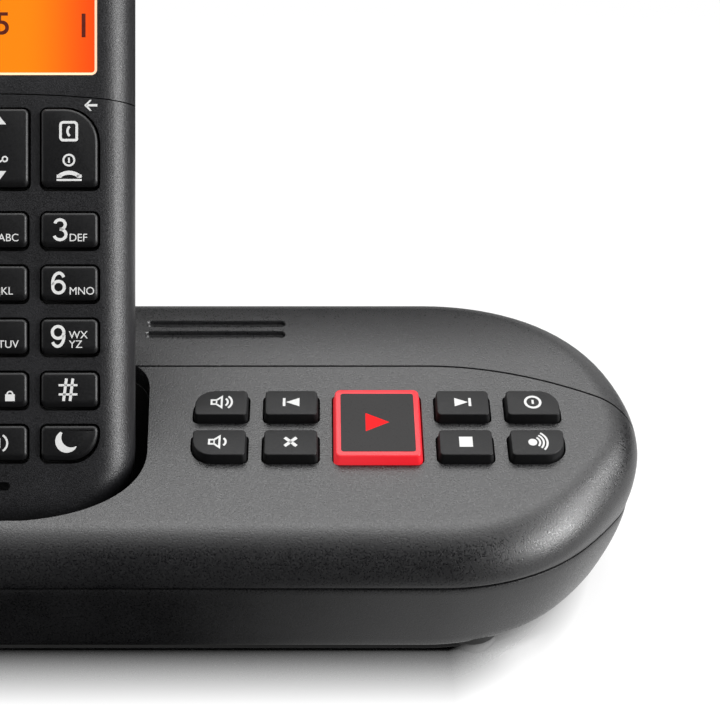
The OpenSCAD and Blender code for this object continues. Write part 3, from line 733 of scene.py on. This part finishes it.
def crossSign(bm):
    for way in (-1, 1):
        addStroke(bm, [(-1.05, -1.0 * way), (1.05, 1.0 * way)], 0.62)


def powerSign(bm):
    addRing(bm, 0, 0, 1.6, 1.14)
    addBox(bm, -0.2, -0.45, 0.2, 0.55)


def pageSign(bm):
    addRing(bm, -0.9, -0.1, 0.8, 0.02)
    for i in range(3):
        addBand(bm, -0.9, -0.1, 1.5 + 0.66 * i, 1.14 + 0.66 * i, -42, 55)


baseSigns = {
    "volume_up_key": lambda bm: speakerSign(bm, 2),
    "volume_down_key": lambda bm: speakerSign(bm, 1),
    "previous_key": lambda bm: skipSign(bm, -1),
    "next_key": lambda bm: skipSign(bm, 1),
    "delete_key": crossSign,
    "stop_key": lambda bm: addBox(bm, -1.2, -1.2, 1.2, 1.2),
    "power_key": powerSign,
    "page_key": pageSign,
}
for name, sign in baseSigns.items():
    bm = bmesh.new()
    sign(bm)
    x, p = keyPlace(*baseKeys[name][:2])
    place = panelFrame @ move(x, p + 0.1, keyField["rise"] - printThick / 2)
    finishPiece(toObject(bm, name.replace("_key", "Sign")), place, name, whitePrint)
print("base keys ready")

# ---- handset covers ----

handset = {
    "width": 47.1,
    "length": 158,
    "footThick": 19,
    "backThick": 23.5,
    "faceRadius": 6.2,
    "backRadius": 5.5,
    "wall": 1.8,
    "cut": 9.5,
    "cutGap": 0.15,
    "endCurve": 15,
    "endPower": 2.4,
    "faceEnd": 5,
    "backEnd": 9,
    "corner": 10,
    "endSteps": 16,
    "stepFrom": 34,
    "stepOver": 12,
    "fall": 3,
    "fallFrom": 128,
    "fallOver": 26,
    "taperFrom": 3.4,
    "taper": 0.0058,
    "taperSoft": 1.6,
    "seam": 77.85,
    "seamBend": 0.00255,
}


def ease(x):
    c = min(1, max(0, x))
    return c * c * (3 - 2 * c)


# the back steps out above the hand and falls again towards the top
def backDepth(w):
    rise = (handset["backThick"] - handset["footThick"]) * ease((w - handset["stepFrom"]) / handset["stepOver"])
    return handset["footThick"] + rise - handset["fall"] * ease((w - handset["fallFrom"]) / handset["fallOver"])


def roundIn(s, r):
    return 0 if s >= r else r * (1 - math.sqrt(1 - (1 - s / r) ** 2))


# the sides draw in towards the back
def taper(depth):
    t = max(0, depth - handset["taperFrom"])
    return 1 - handset["taper"] * t * t / (t + handset["taperSoft"])


# one ring across the handset at height w, with thickness of plastic outside it; y is the depth behind the face
def handsetRing(w, thickness, cut, front):
    s = max(0.05, min(w - thickness, handset["length"] - thickness - w))
    share, power = 1, handset["endPower"]
    if s < handset["endCurve"]:
        share = (1 - (1 - s / handset["endCurve"]) ** power) ** (1 / power)
    half = (handset["width"] / 2 - thickness) * share
    steps = handset["corner"]
    if front:
        d = thickness + roundIn(s, handset["faceEnd"] - thickness)
        r = min(handset["faceRadius"] - thickness, half * 0.95, cut - d - 0.1)
        arcs = arcPoints(-half + r, d + r, r, 180, 270, steps) + arcPoints(half - r, d + r, r, 270, 360, steps)
        path = [(-half, cut)] + arcs + [(half, cut)]
    else:
        d = backDepth(w) - thickness - roundIn(s, handset["backEnd"] - thickness)
        r = min(handset["backRadius"] - thickness, half * 0.95, d - cut - 0.1)
        arcs = arcPoints(half - r, d - r, r, 0, 90, steps) + arcPoints(-half + r, d - r, r, 90, 180, steps)
        path = [(half, cut)] + arcs + [(-half, cut)]
    return [(x * taper(y), y, w) for x, y in path]


def handsetHalf(name, thickness, cut, front):
    steps, curve = handset["endSteps"], handset["endCurve"]
    ends = [max(0.05, curve * (1 - cosSin(90 * i / steps)[0])) for i in range(steps + 1)]
    middle = [80] if front else [24, 30, *range(34, 47), 60, 90, 120, 128, 131, 134, 137, 140]
    heights = [thickness + e for e in ends] + middle + [handset["length"] - thickness - e for e in reversed(ends)]
    bm = bmesh.new()
    loft(bm, [handsetRing(w, thickness, cut, front) for w in heights])
    return toObject(bm, name)


# a bmesh drawn on the face, as an object in the handset's axes
def onFace(bm, name):
    bmesh.ops.transform(bm, matrix=handsetFrame.inverted() @ faceFrame, verts=bm.verts)
    return toObject(bm, name)


def seamHeight(u):
    return handset["seam"] - handset["seamBend"] * u * u


# everything below the line between keypad cover and display cover
def belowSeam(drop):
    bm = bmesh.new()
    edge = [(u, seamHeight(u) - drop) for u in [x * 0.5 for x in range(54, -55, -1)]]
    addPrism(bm, [(-40, -10), (40, -10)] + edge, -30, 40)
    return onFace(bm, "belowSeam")


pad = {
    "pitchX": 12.47,
    "pitchY": 9.38,
    "top": 53.8,
    "w": 9.9,
    "h": 6.0,
    "navW": 10.35,
    "navH": 13.7,
    "navY": 68.25,
    "gap": 0.4,
    "small": 0.9,
    "big": 5.8,
    "low": 4.8,
    "rise": 0.9,
    "under": 0.3,
}


def padRadii(corner=None, radius=0.0):
    return [radius if i == corner else pad["small"] for i in range(4)]


# name: middle on the face, size and corner radii
padKeys = {
    "call_key": (-pad["pitchX"], pad["navY"], pad["w"], pad["navH"], padRadii(3, pad["big"])),
    "navigation_key": (0, pad["navY"], pad["navW"], pad["navH"], padRadii()),
    "end_key": (pad["pitchX"], pad["navY"], pad["w"], pad["navH"], padRadii(2, pad["big"])),
}
padNames = ["number_%d_key" % i for i in range(1, 10)]
padNames += ["star_key", "number_0_key", "hash_key", "mute_key", "speakerphone_key", "quiet_key"]
padCorners = {"mute_key": padRadii(0, pad["low"]), "quiet_key": padRadii(1, pad["low"])}
for index, name in enumerate(padNames):
    row, column = divmod(index, 3)
    x, y = (column - 1) * pad["pitchX"], pad["top"] - row * pad["pitchY"]
    padKeys[name] = (x, y, pad["w"], pad["h"], padCorners.get(name, padRadii()))


def padCutter():
    bm = bmesh.new()
    for x, y, w, h, radii in padKeys.values():
        low, tall = through["low"], through["tall"]
        addPlate(bm, w, h + pad["under"], radii, x, y - pad["under"] / 2, low, tall, -pad["gap"])
    return onFace(bm, "padHoles")


microphone = {"y": 8.6, "w": 3.8, "h": 1.5, "radii": [0.7] * 4}
window = {"w": 34.5, "h": 25.3, "y": 93.85, "radii": [1.0] * 4, "play": 0.1, "rim": 0.42}
earpiece = {"y": 142, "pitch": 2.4, "w": 12, "h": 1.1, "radii": [0.5] * 4}


def frontShell(name):
    shell = handsetHalf(name, 0, handset["cut"], True)
    combine(shell, "DIFFERENCE", handsetHalf("inside", handset["wall"], handset["cut"] + 0.5, True))
    return shell


keypadCover = frontShell("handsetKeypadCover")
combine(keypadCover, "INTERSECT", belowSeam(0.1))
bm = bmesh.new()
addPlate(bm, microphone["w"], microphone["h"], microphone["radii"], 0, microphone["y"], through["low"], through["tall"])
combine(keypadCover, "DIFFERENCE", padCutter(), onFace(bm, "microphoneSlot"))
bm = bmesh.new()
for x, y in contactSpots:
    addRod(bm, x, y, -1, 1.52, 4.5)
combine(keypadCover, "DIFFERENCE", toObject(bm, "padSeats"))
finishPiece(keypadCover, handsetFrame, "handset", handsetAbs, ["handset_keypad_cover"])

displayCover = frontShell("handsetDisplayCover")
bm = bmesh.new()
addPlate(bm, window["w"], window["h"], window["radii"], 0, window["y"], through["low"], through["tall"])
for i in (-1, 0, 1):
    y = earpiece["y"] + earpiece["pitch"] * i
    addPlate(bm, earpiece["w"] - 2 * abs(i), earpiece["h"], earpiece["radii"], 0, y, through["low"], through["tall"])
combine(displayCover, "DIFFERENCE", belowSeam(-0.1), onFace(bm, "openings"))
finishPiece(displayCover, handsetFrame, "handset", handsetAbs, ["handset_display_cover"])

door = {"low": 48, "h": 56, "w": 32, "thick": 1.6, "gap": 0.25, "radii": [2.2] * 4}


def brick(name, low, high):
    bm = bmesh.new()
    size = [b - a for a, b in zip(low, high)]
    middle = [(a + b) / 2 for a, b in zip(low, high)]
    bmesh.ops.create_cube(bm, size=1, matrix=move(*middle) @ Matrix.Diagonal((*size, 1)))
    return toObject(bm, name)


rearCut = handset["cut"] + handset["cutGap"]
handsetRear = handsetHalf("handsetRearCover", 0, rearCut, False)
combine(handsetRear, "DIFFERENCE", handsetHalf("inside", handset["wall"], rearCut - 0.5, False))
combine(handsetRear, "UNION", brick("compartment", (-17.6, 9.9, 46.4), (17.6, 22, 105.6)))
combine(handsetRear, "DIFFERENCE", brick("hollow", (-15.2, 10.5, 49), (15.2, 30, 103)))
tray = brick("tray", (-13.2, 10.3, 50), (13.2, 18, 101))
combine(tray, "DIFFERENCE", brick("bed", (-11.8, 10.5, 51.4), (11.8, 22, 99.6)))
combine(handsetRear, "UNION", tray)
bm = bmesh.new()
doorPlay = 2 * door["gap"]
doorFace = handset["backThick"] - door["thick"] - 0.05
doorSize = (door["w"] + doorPlay, door["h"] + doorPlay, door["radii"])
addPlate(bm, *doorSize, 0, door["low"] + door["h"] / 2, -30, 30 - doorFace)
doorHole = onFace(bm, "doorHole")
rearHoles = {
    "screws": ((-14, 9), (14, 9), (-15, 114), (15, 114)),
    "screw": 2.2,
    "soundZ": 122,
    "ring": 3.4,
    "sound": 0.8,
}
bm = bmesh.new()
for u, w in rearHoles["screws"]:
    addRod(bm, u, backDepth(w) - 3, w, rearHoles["screw"], 10, axis="Y")
for x, z in [(0, 0)] + arcPoints(0, 0, rearHoles["ring"], 0, 300, 5):
    addRod(bm, x, 17, rearHoles["soundZ"] + z, rearHoles["sound"], 12, 16, axis="Y")
combine(handsetRear, "DIFFERENCE", doorHole, toObject(bm, "rearHoles"))
finishPiece(handsetRear, handsetFrame, "handset", handsetAbs, ["handset_rear_cover"])
print("handset covers ready")

# ---- handset keys ----

# the foot of each key falls away steeply, its other sides have a fine chamfer: height, inset and cut at the foot
padLevels = ((-2.6, 0, 0), (0.3, 0, 0), (0.62, 0.04, 0.3), (0.84, 0.26, 0.5), (pad["rise"], 0.42, 0.58))
for name, (x, y, w, h, radii) in padKeys.items():
    bm = bmesh.new()
    loft(bm, [[(px, py + foot / 2, z) for px, py in plate(w, h - foot, radii, inset)] for z, inset, foot in padLevels])
    cap = toObject(bm, name.replace("_key", "Cap"))
    finishPiece(cap, faceFrame @ move(x, y, 0), name, padKeyAbs, [name], 25)


# digits stand left of the middle, their letters small beside the foot; drawn as strokes from the lower left
digits = {
    0: [ovalPoints(1.35, 2.02, 1.04, 1.76, 0, 360, 28)],
    1: [[(0.6, 3.0), (1.2, 3.15), (1.55, 3.55), (1.6, 4.05)], [(1.6, 4.0), (1.6, 0)]],
    2: [ovalPoints(1.36, 2.8, 1.03, 0.98, 172, -25) + [(1.95, 1.75), (0.75, 0.85), (0.4, 0.28), (2.5, 0.28)]],
    3: [ovalPoints(1.64, 2.93, 0.92, 0.85, 165, -88), ovalPoints(1.64, 1.18, 1.05, 0.92, 92, -165)],
    4: [[(1.95, 0), (1.95, 3.9)], [(1.9, 3.75), (0.2, 1.25), (2.7, 1.25)]],
    5: [[(2.35, 3.78), (0.8, 3.78), (0.5, 2.05)], ovalPoints(1.32, 1.36, 1.05, 1.08, 140, -158)],
    6: [
        ovalPoints(1.38, 1.3, 1.02, 1.03, 0, 360, 24),
        ovalPoints(1.5, 2.0, 1.15, 1.78, 190, 78) + [(2.1, 3.45), (2.3, 3.05)],
    ],
    7: [[(0.25, 3.78), (2.45, 3.78), (1.75, 2.8), (1.3, 1.6), (1.1, 0)]],
    8: [ovalPoints(1.37, 2.95, 0.87, 0.82, 0, 360, 24), ovalPoints(1.37, 1.2, 1.03, 0.92, 0, 360, 24)],
    9: [
        ovalPoints(1.3, 2.72, 1.02, 1.05, 0, 360, 24),
        ovalPoints(1.18, 2.02, 1.15, 1.76, 10, -102) + [(0.55, 0.6), (0.35, 1.0)],
    ],
}
letters = {2: ["ABC"], 3: ["DEF"], 4: ["GHI"], 5: ["JKL"], 6: ["MNO"], 7: ["PQ", "RS"], 8: ["TUV"], 9: ["WX", "YZ"]}
padPrint = {"x": -3.25, "y": -2.0, "stroke": 0.53, "letterSize": 1.9, "letterX": -0.05, "lineStep": 1.65}


def numberSign(digit):
    def draw(bm):
        for path in digits[digit]:
            addStroke(bm, shifted(path, padPrint["x"], padPrint["y"]), padPrint["stroke"])
        lines = letters.get(digit, [])
        for i, line in enumerate(lines):
            y = padPrint["y"] + padPrint["lineStep"] * (len(lines) - 1 - i)
            addText(bm, line, padPrint["letterSize"], padPrint["letterX"], y)
        if digit == 0:
            addBox(bm, 1.2, -2.0, 2.9, -0.8)
            addBand(bm, 2.05, -0.8, 0.62, 0.36, 0, 180)
        if digit == 5:
            addRing(bm, -1.9, -3.6, 0.3, 0.02)

    return draw


def starSign(bm):
    for angle in (90, 150, 210):
        c, s = cosSin(angle)
        arm = ((-1.5, -0.22), (1.5, -0.22), (1.5, 0.22), (-1.5, 0.22))
        addShape(bm, [(x * c - y * s, x * s + y * c) for x, y in arm])


def hashSign(bm):
    for side in (-1, 1):
        addStroke(bm, [(0.57 * side - 0.42, -1.98), (0.57 * side + 0.08, 1.98)], 0.5)
        addBox(bm, -1.85, 0.81 * side - 0.19, 1.45, 0.81 * side + 0.19)


def moonSign(bm):
    outer = arcPoints(-0.45, 0.3, 2.0, 122, 332, 24)
    inner = arcPoints(0.35, 0.95, 1.72, 300, 152, 20)
    addShape(bm, outer + inner)


# a small telephone book with a receiver on its cover
def bookSign(bm):
    addStroke(bm, shifted(plate(2.86, 3.14, [0.5, 0.25, 0.5, 0.5]), -0.09, 2.9), 0.46, True)
    addStroke(bm, arcPoints(0.75, 2.9, 1.05, 128, 232, 10), 0.42)


def endSign(bm):
    bookSign(bm)
    addRing(bm, -0.05, -2.19, 1.12, 0.78)
    addBox(bm, -0.2, -2.65, 0.12, -1.75)
    addBand(bm, 0, -7.2, 3.15, 2.45, 50, 130, 18)
    for side in (-1, 1):
        addBox(bm, min(side * 1.35, side * 2.2), -5.3, max(side * 1.35, side * 2.2), -4.75)
    addBox(bm, -2.2, -5.85, 2.2, -5.5)


def callSign(bm):
    bookSign(bm)
    addStroke(bm, arcPoints(1.2, -3.6, 2.2, 130, 230, 12), 0.62)
    addBox(bm, -0.6, -2.25, 0.35, -1.6)
    addBox(bm, -0.6, -5.6, 0.35, -4.95)


def navigationSign(bm):
    addShape(bm, [(-1.4, 4.1), (1.4, 4.1), (0, 5.8)])
    addShape(bm, [(-1.4, -4.1), (0, -5.95), (1.4, -4.1)])
    addRing(bm, 1.16, -2.0, 0.56, 0.3)
    addStroke(bm, [(0.75, -2.15), (0.13, -2.6), (-0.9, -2.0)], 0.3)


def speakerphoneSign(bm):
    addBand(bm, 0, 0, 1.75, 1.4, -60, 60)
    addBand(bm, 0, 0, 1.75, 1.4, 120, 240)
    addShape(bm, [(-0.75, -0.35), (-0.3, -0.35), (0.35, -0.9), (0.35, 0.9), (-0.3, 0.35), (-0.75, 0.35)])


def muteSign(bm):
    addShape(bm, plate(1.0, 2.2, [0.45] * 4))
    addBox(bm, -0.12, -1.75, 0.12, -1.2)
    addBox(bm, -0.7, -1.95, 0.7, -1.7)
    addShape(bm, [(1.15, 1.35), (1.45, 1.35), (-1.15, -1.75), (-1.45, -1.75)])


padSigns = {"number_%d_key" % i: numberSign(i) for i in range(10)}
padSigns.update(
    {
        "call_key": callSign,
        "end_key": endSign,
        "navigation_key": navigationSign,
        "star_key": starSign,
        "hash_key": hashSign,
        "mute_key": muteSign,
        "speakerphone_key": speakerphoneSign,
        "quiet_key": moonSign,
    }
)
for name, sign in padSigns.items():
    bm = bmesh.new()
    sign(bm)
    place = faceFrame @ move(*padKeys[name][:2], pad["rise"] - printThick / 2)
    finishPiece(toObject(bm, name.replace("_key", "Sign")), place, name, whitePrint)

bm = bmesh.new()
arrow = {"x": 15.0, "y": 75.85, "length": 2.3, "half": 0.95, "line": 0.42}
addBox(bm, 0.3, -arrow["line"] / 2, arrow["length"], arrow["line"] / 2)
for side in (-1, 1):
    tip = side * arrow["half"]
    points = [(0, 0), (arrow["half"], tip), (arrow["half"] + 0.35, tip), (0.5, 0)]
    addShape(bm, points if side < 0 else points[::-1])
place = faceFrame @ move(arrow["x"], arrow["y"], -printThick / 2)
finishPiece(toObject(bm, "backArrowPrint"), place, "handset", whitePrint)
print("handset keys ready")

# ---- display ----

# orange back light, redder to its edge
displayGlow = glowingPlastic("displayGlow", "#ff8a08", "#ff4a10", -30, -15, 1.0, "#3a1204", 0.25)
# dark segments of the display
inkLcd = mouldedPlastic("inkLcd", "#5a1503", "#4c1002", 0.4, 0.04, 0.6, 0.002)
# the edge of the clear window glows pale and lighter to the right: a painted highlight, as emission
windowRimHighlight = glowingPlastic("windowRimHighlight", "#ffc896", "#ffd8b8", -50, -15, 0.8, "#e8b088", 0.3)
pane = (window["w"] - window["play"], window["h"] - window["play"], window["radii"])
bm = bmesh.new()
addPlate(bm, *pane, 0, window["y"], -1.5, 1.0)
finishPiece(toObject(bm, "displayWindow"), faceFrame, "handset", displayGlow, ["display_lens"])
# a thin band round the pane carries the painted highlight of the window's edge
bm = bmesh.new()
outer, inner = plate(*pane), plate(*pane, window["rim"])
rims = ((outer, -0.9), (outer, -0.35), (inner, -0.35), (inner, -0.9))
loft(bm, [[(x, y + window["y"], z) for x, y in outline] for outline, z in rims], False, False)
finishPiece(toObject(bm, "displayRim"), faceFrame, "handset", windowRimHighlight)
bm = bmesh.new()
addText(bm, "12:45", 5.6, 1.9, 88.5, 0.05, "RIGHT")
addText(bm, "1", 6.0, 13.3, 88.0, 0.05)
for i in range(3):
    addBox(bm, -14.0 + 1.8 * i, 99.5, -12.6 + 1.8 * i, 101.5 + i)
addBox(bm, 9.5, 99.7, 14.2, 102.9)
finishPiece(toObject(bm, "displaySegments"), faceFrame @ move(0, 0, -0.5), "handset", inkLcd)
print("display ready")

# ---- parts that keep their CAD shape ----

keptFinishes = (
    (contactNickel, "charge_contacts charge_pads battery_contacts"),
    (boardResin, "main_board key_board handset_board"),
    (matSilicone, "key_mat handset_key_mat"),
    (playGlow, "play_leds"),
    (speakerSteel, "speaker_basket speaker_magnet earpiece_receiver ringer_speaker microphone"),
    (conePaper, "speaker_cone"),
    (socketNylon, "dc_jack line_jack lcd_module"),
    (screwZinc, "housing_screws handset_screws"),
    (handsetAbs, "battery_door"),
    (cellSleeve, "battery_cells"),
)
for material, names in keptFinishes:
    for name in names.split():
        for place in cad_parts[name].material_slots:
            place.material = material

# ---- stage, light and camera ----


# one for the rays that show the background: straight from the camera, off gloss and through glass
def seenDirectly(tree):
    rays = addNode(tree, "LightPath").outputs
    both = addNode(tree, "Math", {"operation": "ADD"}, in0=rays["Is Camera Ray"], in1=rays["Is Glossy Ray"]).outputs[0]
    clamped = {"operation": "ADD", "use_clamp": True}
    return addNode(tree, "Math", clamped, in0=both, in1=rays["Is Transmission Ray"]).outputs[0]


floor = {
    "half": 1.5,
    "middle": 33,
    "straight": 46,
    "round": 31,
    "reach": 15.5,
    "mirror": 1.0,
    "sideways": 1.6,
    "lit": 0.34,
}
material, tree = newMaterial("studioFloor")
place = addNode(tree, "TexCoord").outputs["Object"]
# the floor is polished round the base and fades to plain white away from it, sooner at the ends
flatten = addNode(tree, "VectorMath", {"operation": "MULTIPLY", 1: (1, 1, 0)}, in0=place).outputs[0]
middle = (0, -(frontEdge + floor["middle"] * mm), 0)
centred = addNode(tree, "VectorMath", {"operation": "ADD", 1: middle}, in0=flatten).outputs[0]
size = addNode(tree, "VectorMath", {"operation": "ABSOLUTE"}, in0=centred).outputs[0]
straight = (floor["straight"] * mm, 0, 0)
past = addNode(tree, "VectorMath", {"operation": "SUBTRACT", 1: straight}, in0=size).outputs[0]
outside = addNode(tree, "VectorMath", {"operation": "MAXIMUM", 1: (0, 0, 0)}, in0=past).outputs[0]
away = addNode(tree, "VectorMath", {"operation": "LENGTH"}, in0=outside).outputs["Value"]
sidewards = addNode(tree, "SeparateXYZ", Vector=outside).outputs["X"]
weigh = {"operation": "MULTIPLY_ADD", 1: floor["sideways"] - 1}
gone = addNode(tree, "Math", weigh, in0=sidewards, in2=away).outputs[0]
near, far = floor["round"] * mm, (floor["round"] + floor["reach"]) * mm
span = {"From Min": near, "From Max": far, "To Min": floor["mirror"], "To Max": 0.0}
fade = addNode(tree, "MapRange", span, Value=gone).outputs["Result"]
# a third of its white is lit by the lamps, so that it takes the object's shadow; far off it is plain white
span = {"From Min": 0.06, "From Max": 0.35, "To Min": floor["lit"], "To Max": 0.0}
litShare = addNode(tree, "MapRange", span, Value=away).outputs["Result"]
white = addNode(tree, "Emission", {"Color": hexColor("#ffffff"), "Strength": 1.0})
litWhite = addNode(tree, "BsdfDiffuse", {"Color": hexColor("#f6f6f6")})
ground = addNode(tree, "MixShader", None, in0=litShare, in1=white.outputs[0], in2=litWhite.outputs[0])
mirror = addNode(tree, "BsdfGlossy", {"Color": hexColor("#ffffff"), "Roughness": 0.04})
shown = addNode(tree, "MixShader", None, in0=fade, in1=ground.outputs[0], in2=mirror.outputs[0])
dull = addNode(tree, "BsdfDiffuse", {"Color": hexColor("#8c8c8c")})
mixed = addNode(tree, "MixShader", None, in0=seenDirectly(tree), in1=dull.outputs[0], in2=white.outputs[0])
onlyCamera = addNode(tree, "LightPath").outputs["Is Camera Ray"]
result = addNode(tree, "MixShader", None, in0=onlyCamera, in1=mixed.outputs[0], in2=shown.outputs[0])
addNode(tree, "OutputMaterial", Surface=result.outputs[0])
bm = bmesh.new()
bmesh.ops.create_grid(bm, x_segments=1, y_segments=1, size=floor["half"])
studioFloor = toObject(bm, "studioFloor")
studioFloor.data.materials.append(material)

world = bpy.data.worlds.new("studio")
bpy.context.scene.world = world
world.use_nodes = True
tree = world.node_tree
tree.nodes.clear()
dim = addNode(tree, "Background", {"Color": hexColor("#ffffff"), "Strength": 0.3})
bright = addNode(tree, "Background", {"Color": hexColor("#ffffff"), "Strength": 1.0})
seen = addNode(tree, "MixShader", None, in0=seenDirectly(tree), in1=dim.outputs[0], in2=bright.outputs[0])
addNode(tree, "OutputWorld", Surface=seen.outputs[0])

# cards that only gloss sees keep the fronts and the far top dark; the near one on the floor brightens to the right
gradedCard, tree = newMaterial("studioCard")
place = addNode(tree, "TexCoord").outputs["Object"]
along = addNode(tree, "SeparateXYZ", Vector=place).outputs["X"]
span = {"From Min": -0.01, "From Max": 0.065, "interpolation_type": "SMOOTHSTEP"}
level = addNode(tree, "MapRange", span, Value=along).outputs["Result"]
glow = addNode(tree, "Emission", {"Color": hexColor("#ffffff")}, Strength=level)
clear = addNode(tree, "BsdfTransparent")
under = addNode(tree, "NewGeometry").outputs["Backfacing"]
shown = addNode(tree, "MixShader", None, in0=under, in1=glow.outputs[0], in2=clear.outputs[0])
addNode(tree, "OutputMaterial", Surface=shown.outputs[0])
blackCard = mouldedPlastic("blackCard", "#060606", "#040404", 0.9, 0.02, 40, 0.01)


def stageCard(card, cardMaterial):
    card.data.materials.append(cardMaterial)
    card.visible_camera = card.visible_diffuse = card.visible_shadow = False


# name: place, half its size and material
cards = {
    "frontCard": (move(0, -1.0, 0.75) @ turned(-90), (1.5, 1.1), blackCard),
    "backCard": (move(-0.25, 1.1, 0.68) @ turned(-90), (0.6, 0.45), blackCard),
    "rightCard": (move(1.3, 0.5, 0.42) @ turned(-90, "Y"), (0.45, 0.8), blackCard),
    "behindCard": (move(0.1, 0.75, 0.0006), (1.0, 0.6), blackCard),
    "nearCard": (move(-0.43, frontEdge - 0.0135, 0.0006), (0.5, 0.0165), gradedCard),
    "farCard": (move(-0.2, frontEdge - 0.53, 0.0006), (0.3, 0.5), blackCard),
}
for name, (place, half, cardMaterial) in cards.items():
    bm = bmesh.new()
    bmesh.ops.create_grid(bm, x_segments=1, y_segments=1, size=1.0, matrix=place @ Matrix.Diagonal((*half, 1, 1)))
    stageCard(toObject(bm, name), cardMaterial)
# the floor under the base is in the dark
bm = bmesh.new()
addPrism(bm, [corner[:2] for corner in skirtRing(1.2, skirt["bottom"])], 0.2, 0.2)
bmesh.ops.transform(bm, matrix=baseFrame, verts=bm.verts)
stageCard(toObject(bm, "underCard"), blackCard)


# a soft box: its radiance times its area times pi is its power
def softBox(name, place, target, width, height, radiance):
    light = bpy.data.lights.new(name, "AREA")
    light.shape = "RECTANGLE"
    light.size, light.size_y = width, height
    light.energy = radiance * width * height * math.pi
    lamp = bpy.data.objects.new(name, light)
    bpy.context.scene.collection.objects.link(lamp)
    lamp.location = place
    lamp.rotation_euler = (Vector(target) - Vector(place)).to_track_quat("-Z", "Y").to_euler()
    lamp.visible_camera = False
    return lamp


softBox("overheadBox", (0.05, 0.215, 0.86), (0.02, 0.0, 0.03), 0.85, 0.48, 3.8)
softBox("rightBox", (0.7, -0.1, 0.52), (0.03, 0.0, 0.04), 0.28, 0.32, 11.5)
softBox("rightFrontBox", (0.78, -0.42, 0.27), (-0.03, 0.0, 0.08), 0.3, 0.42, 20.0)
softBox("leftBox", (-0.8, -0.25, 0.45), (0.0, 0.0, 0.06), 0.4, 0.5, 1.0)
# the front fill only lifts the diffuse tones, as through a crossed polariser
softBox("frontFill", (-0.1, -0.75, 0.6), (0.0, 0.0, 0.08), 0.6, 0.6, 1.7).visible_glossy = False

view = {"place": (23.2, -217.4, 185.8), "lens": 80, "shift": 40 / 720}
cameraData = bpy.data.cameras.new("camera")
cameraData.lens = view["lens"]
cameraData.sensor_width = 36
cameraData.shift_x = view["shift"]
cameraData.clip_start = 0.01
camera = bpy.data.objects.new("camera", cameraData)
bpy.context.scene.collection.objects.link(camera)
camera.location = baseFrame @ Vector(view["place"])
camera.rotation_euler = (math.radians(60), 0, 0)
bpy.context.scene.camera = camera
bpy.context.scene.view_settings.view_transform = "Standard"
print("stage ready")
